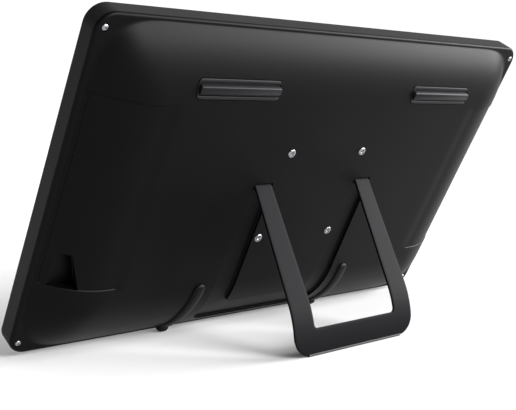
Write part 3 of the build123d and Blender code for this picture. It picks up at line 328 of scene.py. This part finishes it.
def sewn(seen, hidden, rings=()):
    """Points and faces of the closed solid between two grids, with rings of points between their borders."""
    rows, cols = seen.shape[:2]
    count = rows * cols
    loop = border(rows, cols)
    between_them = [2 * count + len(loop) * k + np.arange(len(loop)) for k in range(len(rings))]
    loops = [loop, *between_them, loop + count]
    points = np.concatenate([seen.reshape(-1, 3), hidden.reshape(-1, 3), *rings])
    strips = [np.stack([a, b, np.roll(b, -1), np.roll(a, -1)], -1) for a, b in zip(loops, loops[1:])]
    return points, np.concatenate([quads(rows, cols), quads(rows, cols)[:, ::-1] + count, *strips])


def new_piece(name, points, faces, crease=35.0):
    """A mesh object from panel millimetres: faces outward, smooth but for edges over the crease."""
    mesh = bpy.data.meshes.new(name)
    mesh.from_pydata(to_scene(points).tolist(), [], [list(map(int, face)) for face in faces])
    work = bmesh.new()
    work.from_mesh(mesh)
    bmesh.ops.recalc_face_normals(work, faces=work.faces)
    work.to_mesh(mesh)
    work.free()
    mesh.shade_smooth()
    mesh.set_sharp_from_angle(angle=math.radians(crease))
    piece = bpy.data.objects.new(name, mesh)
    scene.collection.objects.link(piece)
    return piece


def settle(piece, body, *stands_for):
    """Gives a piece its body, the CAD nodes that it stands for, and their finish."""
    slot = slots[stands_for[0]]
    piece.data.materials.clear()
    piece.data.materials.append(finishes[slot])
    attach(piece, body)
    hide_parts(*stands_for)
    print(piece.name, "faces", len(piece.data.polygons))


def turned(profile, at, steps=40):
    """Round solid from a profile of (radius, height) pairs, turned about the thickness at a point."""
    profile = np.asarray(profile, float)
    angle = np.linspace(0, 2 * math.pi, steps, endpoint=False)
    ring = np.stack([np.cos(angle), np.zeros(steps), np.sin(angle)], -1)
    body = profile[1:-1, 0][:, None, None] * ring + profile[1:-1, 1][:, None, None] * np.array([0, 1, 0])
    ends = np.array([[0, profile[0, 1], 0], [0, profile[-1, 1], 0]])
    rows = len(profile) - 2
    row, col = np.mgrid[0:rows - 1, 0:steps]
    first, beside = row * steps + col, row * steps + (col + 1) % steps
    side = np.stack([first, beside, beside + steps, first + steps], -1).reshape(-1, 4)
    around = np.arange(steps)
    low = np.stack([np.full(steps, rows * steps), np.roll(around, -1), around], -1)
    high = np.stack([np.full(steps, rows * steps + 1), around, np.roll(around, -1)], -1) + [
        0, (rows - 1) * steps, (rows - 1) * steps]
    return np.concatenate([body.reshape(-1, 3), ends]) + at, [*side, *low, *high]


def joined(parts):
    """Several (points, faces) as one, with the faces renumbered."""
    points, faces, count = [], [], 0
    for some_points, some_faces in parts:
        points.append(some_points)
        faces += [[int(v) + count for v in face] for face in some_faces]
        count += len(some_points)
    return np.concatenate(points), faces


print("piece tools ready")

# %% [markdown]
# The rear cover is one moulding. Its middle is flat, and it rolls down towards all four edges on one
# radius, so that in the corners the two rolls run into each other without a crease. A superellipse does
# that: the distance rolled is the sum of the sideways and the upward share, both raised to a power. Two
# shallow scoops at the sides sink gently from the flat middle and end in a crisp step.

# %% The cover's surface as a height over the rim
FLAT_X, FLAT_Z = 214.0, 100.0
ROLL_X, ROLL_Z = 63.0, 69.5
CROWN_R = (ROLL_Z ** 2 + CROWN_D ** 2) / (2 * CROWN_D)
CORNER_BLEND = 3.2
SCOOP_DEPTH = 1.0
SCOOP_LOW, SCOOP_HIGH = -86.0, 106.0
SCOOP_EDGE, SCOOP_START, SCOOP_FULL = 274.0, 196.0, 214.0
STEP = 0.35


def crown(x, z):
    """Height of the rolled crown.

    share_x = (|x| - flat_x) / roll_x and share_z alike, never below 0
    rolled = roll_z (share_x^p + share_z^p)^(1/p)
    y = crown_d - r + sqrt(r^2 - rolled^2), never below 0
    """
    share_x = np.maximum(0, np.abs(x) - FLAT_X) / ROLL_X
    share_z = np.maximum(0, np.abs(z) - FLAT_Z) / ROLL_Z
    rolled = ROLL_Z * (share_x ** CORNER_BLEND + share_z ** CORNER_BLEND) ** (1 / CORNER_BLEND)
    return np.maximum(CROWN_D - CROWN_R + np.sqrt(np.maximum(CROWN_R ** 2 - rolled ** 2, 0)), 0)


def ramp(value, start, end):
    """Smooth step from 0 at start to 1 at end."""
    share = np.clip((value - start) / (end - start), 0, 1)
    return share * share * (3 - 2 * share)


def scooped(x, z):
    """Height of the crown with its two side scoops, whose outer, upper and lower edges are one step wide."""
    aside = np.abs(x)
    across = ramp(aside, SCOOP_START, SCOOP_FULL) * ramp(-aside, -SCOOP_EDGE - STEP, -SCOOP_EDGE + STEP)
    up = ramp(z, SCOOP_LOW - STEP, SCOOP_LOW + STEP) * ramp(-z, -SCOOP_HIGH - STEP, -SCOOP_HIGH + STEP)
    return np.maximum(crown(x, z) - SCOOP_DEPTH * across * up, 0)


print("crown radius", round(CROWN_R, 2))

# %% [markdown]
# The grid has straight rows. A row's ends lie on the panel's outline, so in the rounded corners the rows
# get shorter, and only the outer stretch of each row is squeezed. Rows and columns are laid close
# together on both sides of each scoop edge, to keep the step sharp.

# %% Grid over the panel's outline
GRID = 3.0
SQUEEZE_FROM = 235.0


def spaced(*stops):
    """Positions from the first stop to the last, about GRID apart, that include every stop."""
    pieces = [np.linspace(a, b, max(2, round((b - a) / GRID) + 1))[:-1] for a, b in zip(stops, stops[1:])]
    return np.concatenate([*pieces, [stops[-1]]])


def mirrored(positive):
    """Symmetric positions from those at 0 and above."""
    return np.concatenate([-positive[:0:-1], positive])


def outline_grid(inset):
    """x and z of a grid that fills the panel's outline, moved in by inset."""
    half_w, half_h, corner = PANEL_W / 2 - inset, PANEL_H / 2 - inset, CORNER_R - inset
    stops = (0, SCOOP_START, FLAT_X, SQUEEZE_FROM, SCOOP_EDGE - STEP, SCOOP_EDGE + STEP, half_w)
    across = mirrored(spaced(*stops))
    arc = half_h - corner + corner * np.sin(np.linspace(0, math.pi / 2, 10))[1:]
    above = np.concatenate([spaced(0, FLAT_Z, SCOOP_HIGH - STEP, SCOOP_HIGH + STEP, half_h - corner), arc])
    below = np.concatenate([spaced(0, -SCOOP_LOW - STEP, -SCOOP_LOW + STEP, FLAT_Z, half_h - corner), arc])
    up = np.concatenate([-below[:0:-1], above])
    into_corner = np.maximum(0, np.abs(up) - (half_h - corner))
    row_half = half_w - corner + np.sqrt(np.maximum(corner ** 2 - into_corner ** 2, 0))
    squeeze = (row_half[:, None] - SQUEEZE_FROM) / (half_w - SQUEEZE_FROM)
    outer = np.maximum(0, np.abs(across) - SQUEEZE_FROM)
    x = np.sign(across) * (np.minimum(np.abs(across), SQUEEZE_FROM) + outer * squeeze)
    return x, np.repeat(up[:, None], len(across), axis=1)


def round_outline(loop_x, loop_z, inset):
    """The border points moved square to the outline, to lie at another inset."""
    core_x = np.clip(loop_x, CORNER_R - PANEL_W / 2, PANEL_W / 2 - CORNER_R)
    core_z = np.clip(loop_z, CORNER_R - PANEL_H / 2, PANEL_H / 2 - CORNER_R)
    out_x, out_z = loop_x - core_x, loop_z - core_z
    length = np.hypot(out_x, out_z)
    return core_x + out_x / length * (CORNER_R - inset), core_z + out_z / length * (CORNER_R - inset)


seen_x, seen_z = outline_grid(RIM_ROUND)
print("cover grid", seen_x.shape)

# %% [markdown]
# The folded stand lies in a channel of the cover. Both are the same U seen from behind: an outer line and
# an inner line, with the same number of points, from the top of one leg round the bar to the top of the
# other. The channel is the U grown by its clearance.

# %% The U of the stand and of its channel
STAND_TOP, STAND_SPREAD, STAND_FLARE, LEG_W = 22.0, 81.0, 2.5, 21.0
STAND_ROLL, BAR_H, BAR_CORNER_R, WINDOW_R = 56.0, 26.5, 18.0, 4.5
STAND_T, STRIP_R, STAND_SINK = 2.5, 1.6, 0.2
SHEET_R = CROWN_R - STAND_SINK
BAR_LOW = -FLAT_Z - SHEET_R * math.sin((STAND_ROLL - STRIP_R) / CROWN_R)
BAR_HIGH = -FLAT_Z - SHEET_R * math.sin((STAND_ROLL - BAR_H) / CROWN_R)
CHANNEL_GAP, FINGER_GAP, CHANNEL_DEPTH, KNUCKLE_GAP = 1.1, 9.0, 3.6, 0.5


def u_line(half_top, half_low, low, corner, top):
    """Half of one line of the U: down the leg, round the corner and along the bar to the middle."""
    leg_z = np.concatenate([np.linspace(top, -FLAT_Z, 36)[:-1], np.linspace(-FLAT_Z, low + corner, 14)[:-1]])
    leg_x = half_top + (half_low - half_top) * np.clip((top - leg_z) / (top + FLAT_Z), 0, 1)
    turn = np.linspace(0, math.pi / 2, 12)
    bend = np.stack([half_low - corner + corner * np.cos(turn), low + corner - corner * np.sin(turn)], -1)
    middle = np.linspace(half_low - corner, 0, 16)[1:]
    bar = np.stack([middle, np.full(len(middle), low)], -1)
    return np.concatenate([np.stack([leg_x, leg_z], -1), bend, bar])


def u_shape(gap, tail, top):
    """Outer and inner line of the U, as (stations, 2) arrays of x and z."""
    outer = u_line(STAND_SPREAD + gap, STAND_SPREAD + STAND_FLARE + gap, BAR_LOW - tail, BAR_CORNER_R, top)
    inner_half = STAND_SPREAD - LEG_W - gap
    inner = u_line(inner_half, inner_half - STAND_FLARE, BAR_HIGH + gap, WINDOW_R, top)
    flip = np.array([-1, 1])
    return [np.concatenate([line, line[-2::-1] * flip]) for line in (outer, inner)]


print("bar from", round(BAR_LOW, 1), "to", round(BAR_HIGH, 1))

# %% [markdown]
# A channel moulded in plastic has a round in each corner, because the tool was milled and the part must
# leave it. So the cutter has a section: it flares a little at the cover's surface and is rounded at the
# bottom.

# %% Cutters for the channel
CLEAR = 12.0  # how far over the cover a cutter reaches
CHANNEL_ROUND = 1.6
FLARE, FLARE_OVER = 0.7, 0.4


def channel_section(steps=8):
    """Distance in from a channel's edge, and depth, for one side of its section."""
    turn = np.linspace(0, math.pi / 2, steps)
    lip = np.stack([-FLARE + FLARE * np.sin(turn),
                    -FLARE_OVER + (FLARE + FLARE_OVER) * (1 - np.cos(turn))], -1)
    low = np.stack([CHANNEL_ROUND * (1 - np.cos(turn)),
                    CHANNEL_DEPTH - CHANNEL_ROUND * (1 - np.sin(turn))], -1)
    return np.concatenate([lip, low])


def between(outer, inner, depths, height):
    """Grid of points across a U, at each section distance from either edge, at a height less a depth."""
    span = inner - outer
    width = np.linalg.norm(span, axis=1)[:, None]
    near = depths[:, 0][None]
    share = np.concatenate([near / width, 0.5 + 0 * width, 1 - near[:, ::-1] / width], axis=1)
    depth = np.concatenate([depths[:, 1], depths[-1:, 1], depths[::-1, 1]])
    flat = outer[:, None] + span[:, None] * share[..., None]
    x, z = flat[..., 0], flat[..., 1]
    return np.stack([x, height(x, z) - depth[None], z], -1)


def cutter(name, low_grid, top_y):
    """Temporary solid from a grid of points up to a flat top."""
    top = low_grid.copy()
    top[..., 1] = top_y
    return new_piece(name, *sewn(low_grid, top))


def cut_away(piece, cutters):
    """Takes the cutters out of a piece by exact boolean, and deletes them."""
    for tool in cutters:
        step = piece.modifiers.new("cut", "BOOLEAN")
        step.operation = "DIFFERENCE"
        step.solver = "EXACT"
        step.object = tool
    done = bpy.data.meshes.new_from_object(piece.evaluated_get(bpy.context.evaluated_depsgraph_get()))
    piece.modifiers.clear()
    piece.data = done
    for tool in cutters:
        bpy.data.objects.remove(tool)
    done.shade_smooth()
    done.set_sharp_from_angle(angle=math.radians(35))


outer_u, inner_u = u_shape(CHANNEL_GAP, FINGER_GAP, STAND_TOP + KNUCKLE_GAP)
channel_grid = between(outer_u, inner_u, channel_section(), crown)
channel_cutter = cutter("channel_cutter", channel_grid, CROWN_D + CLEAR)
print("channel stations", len(outer_u))

# %% [markdown]
# The other openings of the cover are simple: a deep pocket for each hinge knuckle, a seat for each pad,
# the pocket for the plugs with its slot, four holes for the arm mount and four counterbores for the
# screws.

# %% Cutters for pockets, seats and holes
HINGE_Y, HINGE_Z = 22.75, 17.95
KNUCKLE_R = CROWN_D - STAND_SINK - HINGE_Y
PAD_X, PAD_W, PAD_H, PAD_DROP, PAD_GAP, PAD_SEAT = 140.0, 94.0, 18.5, 42.0, 0.6, 1.2
PAD_HIGH = PANEL_H / 2 - PAD_DROP
PAD_LOW = PAD_HIGH - PAD_H
PAD_R = 4.0
FOOT_X, FOOT_W, FOOT_LEAN, FOOT_RISE, FOOT_T, FOOT_SINK = 103.5, 13.0, math.radians(4), 71.0, 3.0, 0.65
POCKET_HIGH, POCKET_LOW, POCKET_HIGH_X, POCKET_LOW_X, POCKET_FLOOR = -50.0, -86.0, 255.0, 243.0, 7.0
PORT_Y, SLOT_L, SLOT_H, PORT_WALL = 11.2, 32.0, 6.2, 2.0
SCREW_X, SCREW_Z, SCREW_SINK, SCREW_HEAD_R, SCREW_GAP, SCREW_CLEAR = 274.5, 159.5, 1.0, 3.0, 0.4, 10.0
INSERT_R, INSERT_FLOOR = 3.0, 8.0
FAR = 60.0


def slab(corners, low_y, high_y):
    """Prism over a four-cornered plan, given as (x, z) pairs, from a low to a high height."""
    x, z = np.array(corners, float).T[:, [0, 1, 3, 2]].reshape(2, 2, 2)
    low, high = (np.stack([x, np.full((2, 2), y), z], -1) for y in (low_y, high_y))
    return sewn(high, low)


def rounded_loop(width, height, radius, steps=8):
    """Points round a rounded rectangle about the origin."""
    turn = np.linspace(0, math.pi / 2, steps)
    angles = np.concatenate([turn + quarter * math.pi / 2 for quarter in range(4)])
    centre_x = np.repeat([1, -1, -1, 1], steps) * (width / 2 - radius)
    centre_z = np.repeat([1, 1, -1, -1], steps) * (height / 2 - radius)
    return np.stack([centre_x + radius * np.cos(angles), centre_z + radius * np.sin(angles)], -1)


def stacked(loops):
    """Closed solid from loops of points with equal counts, with flat ends."""
    count = len(loops[0])
    points = np.concatenate(loops)
    around = np.arange(count)
    beside = np.roll(around, -1)
    ring = np.stack([around, beside, beside + count, around + count], -1)
    sides = [ring + k * count for k in range(len(loops) - 1)]
    caps = [list(around[::-1]), list(around + (len(loops) - 1) * count)]
    return points, [*np.concatenate(sides), *caps]


def pad_frame(side):
    """Centre and lean of a pad's seat: the chord of the roll under the pad."""
    low, high = (float(crown(np.array(PAD_X), np.array(z))) for z in (PAD_LOW - PAD_GAP, PAD_HIGH + PAD_GAP))
    tilt = math.atan2(low - high, PAD_H + 2 * PAD_GAP)
    return side * PAD_X, (low + high) / 2, (PAD_LOW + PAD_HIGH) / 2, tilt


def on_pad(loop, height, side):
    """Loop of (x, z) on a pad's leaning plane, raised by height."""
    x, y, z, tilt = pad_frame(side)
    return np.stack([x + loop[:, 0], y + height * math.cos(tilt) - loop[:, 1] * math.sin(tilt),
                     z + height * math.sin(tilt) + loop[:, 1] * math.cos(tilt)], -1)


def port_slot():
    """Box through the wall at the inner end of the plug pocket, leaning as that wall does."""
    ends = (-PORT_WALL - 1, 1)
    x, y, z = np.array([(x, PORT_Y + y * SLOT_H / 2, z * SLOT_L / 2)
                        for x in ends for y in (-1, 1) for z in (-1, 1)]).T
    turn = math.atan2(POCKET_HIGH_X - POCKET_LOW_X, POCKET_HIGH - POCKET_LOW)
    middle_x, middle_z = (POCKET_HIGH_X + POCKET_LOW_X) / 2, (POCKET_HIGH + POCKET_LOW) / 2
    points = np.stack([middle_x + x * math.cos(turn) + z * math.sin(turn), y,
                       middle_z - x * math.sin(turn) + z * math.cos(turn)], -1)
    return points, [(0, 1, 3, 2), (4, 6, 7, 5), (0, 4, 5, 1), (2, 3, 7, 6), (0, 2, 6, 4), (1, 5, 7, 3)]


seats = []
for side in (1, -1):
    pocket_in, pocket_out = side * (STAND_SPREAD - LEG_W - KNUCKLE_GAP), side * (STAND_SPREAD + KNUCKLE_GAP)
    low, high = HINGE_Z - KNUCKLE_R - 2 * KNUCKLE_GAP, STAND_TOP + KNUCKLE_GAP
    plan = [(pocket_in, low), (pocket_out, low), (pocket_out, high), (pocket_in, high)]
    seats.append(new_piece("hinge_pocket", *slab(plan, HINGE_Y - KNUCKLE_R - KNUCKLE_GAP, CROWN_D + CLEAR)))
    loop = rounded_loop(PAD_W + 2 * PAD_GAP, PAD_H + 2 * PAD_GAP, PAD_R + PAD_GAP)
    seats.append(new_piece("pad_seat", *stacked([on_pad(loop, -PAD_SEAT, side), on_pad(loop, CLEAR, side)])))
plan = [(POCKET_LOW_X, POCKET_LOW), (PANEL_W, POCKET_LOW),
        (PANEL_W, POCKET_HIGH), (POCKET_HIGH_X, POCKET_HIGH)]
seats.append(new_piece("port_pocket", *slab(plan, POCKET_FLOOR, FAR)))
seats.append(new_piece("port_slot", *port_slot()))
mount_at = [(sx * MOUNT_PITCH / 2, 0, MOUNT_Z + sz * MOUNT_PITCH / 2) for sx in (-1, 1) for sz in (-1, 1)]
for at in mount_at:
    bore = [(0, INSERT_FLOOR), (INSERT_R, INSERT_FLOOR), (INSERT_R, FAR), (0, FAR)]
    seats.append(new_piece("insert_hole", *turned(bore, at)))
screw_at = [(sx * SCREW_X, 0, sz * SCREW_Z) for sx in (-1, 1) for sz in (-1, 1)]
for at in screw_at:
    wide = SCREW_HEAD_R + SCREW_GAP
    bore = [(0, -SCREW_SINK), (wide, -SCREW_SINK), (wide, SCREW_CLEAR), (0, SCREW_CLEAR)]
    seats.append(new_piece("screw_counterbore", *turned(bore, at)))
print("cutters", len(seats) + 1)

# %% [markdown]
# Now the cover itself. Its inner side follows the outer one at the wall's thickness, and goes deeper
# under the channel, the hinge pockets and the port pocket, so that nothing is cut through.

# %% The rear cover
WALL, UNDER_CHANNEL, UNDER_KNUCKLE, AROUND = 2.4, 2.0, 3.0, 7.0


def near_u(x, z, reach):
    """True where a point lies on the U of the channel grown by reach."""
    aside = np.abs(x)
    within = (aside < STAND_SPREAD + STAND_FLARE + reach) & (z < STAND_TOP + reach)
    within = within & (z > BAR_LOW - FINGER_GAP - reach)
    return within & ~((aside < STAND_SPREAD - LEG_W - STAND_FLARE - reach) & (z > BAR_HIGH + reach))


def inner_side(x, z):
    """Height of the cover's hidden side."""
    y = scooped(x, z) - WALL
    y = np.where(near_u(x, z, AROUND), np.minimum(y, crown(x, z) - CHANNEL_DEPTH - UNDER_CHANNEL), y)
    from_leg = np.abs(np.abs(x) - STAND_SPREAD + LEG_W / 2)
    knuckle = (from_leg < LEG_W / 2 + AROUND) & (np.abs(z - HINGE_Z) < KNUCKLE_R + AROUND + 1)
    y = np.where(knuckle, np.minimum(y, HINGE_Y - KNUCKLE_R - UNDER_KNUCKLE), y)
    from_middle = np.abs(z - (POCKET_HIGH + POCKET_LOW) / 2)
    plugs = (x > POCKET_LOW_X - AROUND - 1) & (from_middle < (POCKET_HIGH - POCKET_LOW) / 2 + AROUND)
    return np.where(plugs, np.minimum(y, POCKET_FLOOR - PORT_WALL), y)


hidden_x, hidden_z = outline_grid(WALL)
hidden_y = np.maximum(inner_side(hidden_x, hidden_z), -WALL)
seen = np.stack([seen_x, scooped(seen_x, seen_z), seen_z], -1)
hidden = np.stack([hidden_x, hidden_y, hidden_z], -1)
edge = border(*seen_x.shape)
edge_x, edge_z = seen_x.ravel()[edge], seen_z.ravel()[edge]
rings = []
for turn in np.linspace(0, math.pi / 2, 7)[1:]:
    x, z = round_outline(edge_x, edge_z, RIM_ROUND * (1 - math.sin(turn)))
    rings.append(np.stack([x, np.full(len(x), -RIM_ROUND * (1 - math.cos(turn))), z], -1))
for inset in (0, WALL):
    x, z = round_outline(edge_x, edge_z, inset)
    rings.append(np.stack([x, np.full(len(x), -RIM_D), z], -1))
cover = new_piece("moulded_rear_cover", *sewn(seen, hidden, rings))
cut_away(cover, [channel_cutter, *seats])
settle(cover, "tablet", "rear_cover")

# %% [markdown]
# The stand is one strip of sheet steel, cut as a U, bent to follow the cover's lower roll, and curled at
# the top of each leg round its hinge pin. It is easiest to make folded flat on the cover and then turn it
# about the pin to where it stands. Its section is a rectangle with broken edges, carried along the U.

# %% The stand
EDGE_BREAK = 0.5
CURL = math.radians(280)


def sheet_section(width):
    """Share of the width and depth into the sheet, round a section with broken edges."""
    turn = np.linspace(0, math.pi / 2, 4)
    corner = np.stack([EDGE_BREAK * (1 - np.cos(turn)), EDGE_BREAK * (1 - np.sin(turn))], -1)
    near_top = corner
    far_top = np.stack([width - corner[::-1, 0], corner[::-1, 1]], -1)
    far_low = np.stack([width - corner[:, 0], STAND_T - corner[:, 1]], -1)
    near_low = np.stack([corner[::-1, 0], STAND_T - corner[::-1, 1]], -1)
    across = np.linspace(0, width, 9)[1:-1]
    top = np.stack([across, 0 * across], -1)
    low = np.stack([across[::-1], STAND_T + 0 * across], -1)
    return np.concatenate([near_top, top, far_top, far_low, low, near_low])


def bent(x, z, depth):
    """Point of the folded sheet at plan place x, z and a depth under its outer face, on flat or roll."""
    sine = np.clip((-FLAT_Z - z) / SHEET_R, 0, 1)
    cosine = np.sqrt(1 - sine ** 2)
    along = np.where(z > -FLAT_Z, z, -FLAT_Z - (SHEET_R - depth) * sine)
    return np.stack([x, CROWN_D - CROWN_R + (SHEET_R - depth) * cosine, along], -1)


def curled(x, angle, depth):
    """Point of the curl round the pin, at an angle on from where the flat leg ends."""
    radius = KNUCKLE_R - depth
    return np.stack([x, HINGE_Y + radius * np.cos(angle), HINGE_Z + radius * np.sin(angle)], -1)


def opened(points):
    """Turns folded points about the hinge to where the stand stands."""
    c, s = math.cos(STAND_OPEN), math.sin(STAND_OPEN)
    y, z = points[..., 1] - HINGE_Y, points[..., 2] - HINGE_Z
    return np.stack([points[..., 0], HINGE_Y + y * c - z * s, HINGE_Z + y * s + z * c], -1)


outer_u, inner_u = u_shape(0, 0, HINGE_Z)
stations = []
for outer_point, inner_point in zip(outer_u, inner_u):
    section = sheet_section(np.linalg.norm(inner_point - outer_point))
    share = section[:, :1] / np.linalg.norm(inner_point - outer_point)
    plan = outer_point + (inner_point - outer_point) * share
    stations.append(bent(plan[:, 0], plan[:, 1], section[:, 1]))
section = sheet_section(LEG_W)
for side in (1, -1):
    curl = [curled(side * (STAND_SPREAD - section[:, 0]), angle, section[:, 1])
            for angle in np.linspace(0, CURL, 26)[1:]]
    stations = curl[::-1] + stations if side == 1 else stations + curl
points, faces = stacked(stations)
stand = new_piece("bent_steel_stand", opened(points), faces, crease=50)
settle(stand, "stand", "kickstand")

# %% [markdown]
# The feet are silicone rubber: a domed bar glued to the cover, round at the top, that ends in a thick toe
# hooked round the panel's lower edge. The dome is a superellipse across the foot.

# %% The rubber feet
TOE_Y, TOE_R, TUCK_R = 1.5, 4.0, 2.6
DOME_EDGE = 0.12
TOE_Z = -PANEL_H / 2 + 1.5
FOOT_TOP = -PANEL_H / 2 + FOOT_RISE


def foot_path(steps=46):
    """Side view of the foot's middle: its outer and its hidden line, as (stations, 2) arrays of y and z."""
    reach = math.radians(41.0)
    start = (FOOT_TOP + FOOT_W / 2 + FLAT_Z) / CROWN_R
    run = np.linspace(start, -reach, steps)
    lines = []
    for lift in (FOOT_T, -FOOT_SINK):
        radius = CROWN_R + lift
        turned_by = np.minimum(run, 0)
        y = CROWN_D - CROWN_R + radius * np.cos(turned_by)
        z = -FLAT_Z + radius * np.sin(turned_by) + np.maximum(run, 0) * CROWN_R
        lines.append(np.stack([y, z], -1))
    swing = np.linspace(math.radians(34), math.radians(-158), 22)
    toe = np.stack([TOE_Y + TOE_R * np.cos(swing), TOE_Z + TOE_R * np.sin(swing)], -1)
    tuck = np.linspace(math.radians(10), math.radians(-80), 22)
    under = np.stack([-RIM_ROUND + TUCK_R * np.cos(tuck),
                      -PANEL_H / 2 + RIM_ROUND + TUCK_R * np.sin(tuck)], -1)
    return np.concatenate([lines[0], toe]), np.concatenate([lines[1], under])


def rubber_foot(side):
    """Points and faces of one foot."""
    outer, hidden = foot_path()
    across = np.sin(np.linspace(-math.pi / 2, math.pi / 2, 25))
    from_top = np.maximum(0, 1 - (outer[0, 1] - outer[:, 1]) / (FOOT_W / 2))
    half = FOOT_W / 2 * np.sqrt(np.maximum(1 - from_top ** 2, 0.0004))
    along_dome = np.maximum(1 - from_top ** 2.6, 0.001) ** (1 / 2.2)
    across_dome = (1 - np.abs(across) ** 2.4) ** (1 / 2.4)
    lift = along_dome[:, None] * across_dome[None]
    middle = FOOT_X + (FOOT_TOP - outer[:, 1]) * math.tan(FOOT_LEAN)
    x = side * (middle[:, None] + half[:, None] * across[None])
    seen_yz = hidden[:, None] + (outer - hidden)[:, None] * (DOME_EDGE + (1 - DOME_EDGE) * lift)[..., None]
    hidden_yz = np.repeat(hidden[:, None], len(across), axis=1)
    return sewn(np.concatenate([x[..., None], seen_yz], -1), np.concatenate([x[..., None], hidden_yz], -1))


for side, word in ((1, "right"), (-1, "left")):
    foot = new_piece("moulded_foot_" + word, *rubber_foot(side), crease=60)
    settle(foot, "tablet", "rubber_foot_" + word)

# %% [markdown]
# Each pad is a moulding with a raised rim, a groove inside it, and a bar that stands higher. The bar's
# top is level with the panel, since the tablet rests on it when it lies down.

# %% The rest pads
PAD_TOP_Y = CROWN_D + 1.2
RIM_H, GROOVE_SINK = 0.9, 0.5
TOP_W, TOP_H = 90.4, 5.4


def level_top(width, height, radius, side, y):
    """Rounded loop on a plane level with the panel."""
    loop = rounded_loop(width, height, radius)
    centre_x, _, centre_z, _ = pad_frame(side)
    return np.stack([centre_x + loop[:, 0], np.full(len(loop), y), centre_z + loop[:, 1]], -1)


def rest_pad(side):
    """Points and faces of one pad, as loops from its base over the rim, into the groove and up the bar.

    Each loop is narrower than the one before by a step across and a step up the pad. The rim and the groove
    are wider up the pad than across it.
    """
    steps = [(0, 0, -PAD_SEAT + 0.1), (0, 0, 0.35), (0.1, 0.12, 0.7), (0.3, 0.4, RIM_H), (0.7, 2.6, RIM_H),
             (0.9, 3.0, 0.7), (1.0, 3.2, 0.3), (1.0, 3.25, -GROOVE_SINK), (1.4, 4.3, -GROOVE_SINK),
             (1.45, 4.5, 0.4)]
    loops = []
    for in_x, in_z, height in steps:
        loop = rounded_loop(PAD_W - 2 * in_x, PAD_H - 2 * in_z, max(PAD_R - in_z, 1.4))
        loops.append(on_pad(loop, height, side))
    loops.append(level_top(TOP_W + 0.6, TOP_H + 2.0, 1.5, side, PAD_TOP_Y - 0.75))
    loops.append(level_top(TOP_W + 0.4, TOP_H + 1.1, 1.4, side, PAD_TOP_Y - 0.2))
    loops.append(level_top(TOP_W, TOP_H, 1.2, side, PAD_TOP_Y))
    return stacked(loops)


for side, word in ((1, "right"), (-1, "left")):
    pad = new_piece("moulded_pad_" + word, *rest_pad(side), crease=40)
    settle(pad, "tablet", "rest_pad_" + word)

# %% [markdown]
# The arm mount is four steel inserts with a round flange and an M4 thread. The corner screws have domed
# heads with a hexagon recess, drawn here as a round one with a coned bottom.

# %% Inserts and screws
INSERT_L, FLANGE_R = 12.0, 4.6
THREAD_R, PITCH, THREAD_DEPTH = 2.0, 0.7, 0.25


def insert_profile():
    """Radius and height round an insert: up the grooved bore, over the flange and down the outside."""
    top, low = CROWN_D + INSERT_PROUD, CROWN_D + INSERT_PROUD - INSERT_L
    bore_z = np.arange(low + 1.2, top - 0.6, PITCH / 2)
    bore = [(THREAD_R + THREAD_DEPTH * (k % 2), y) for k, y in enumerate(bore_z)]
    turn = np.linspace(0, math.pi / 2, 6)
    dome = [(FLANGE_R - 1.3 + 1.3 * math.sin(a), CROWN_D + 1.3 * math.cos(a)) for a in turn]
    return [(0, low + 1.0), (THREAD_R, low + 1.0), *bore, (THREAD_R + 0.5, top), *dome,
            (INSERT_R - 0.05, CROWN_D - 0.05), (INSERT_R - 0.05, low), (0, low)]


def screw_profile():
    """Radius and height round a corner screw: recess, domed head, shank with thread grooves."""
    base = -SCREW_SINK
    turn = np.linspace(math.radians(25), math.pi / 2, 8)
    head = [(SCREW_HEAD_R * math.sin(a), base + 0.35 + 1.55 * math.cos(a)) for a in turn]
    shank = [(1.0 + 0.2 * (k % 2), base - 0.3 - 0.25 * k) for k in range(24)]
    return [(0, base + 0.3), (0.95, base + 0.55), (1.05, base + 1.65), *head, (SCREW_HEAD_R, base), *shank,
            (0, base - 6.4)]


inserts = new_piece("turned_inserts", *joined([turned(insert_profile(), at) for at in mount_at]), crease=40)
settle(inserts, "tablet", "mount_inserts")
screws = new_piece("domed_cover_screws", *joined([turned(screw_profile(), at) for at in screw_at]),
                   crease=40)
settle(screws, "tablet", "cover_screws")
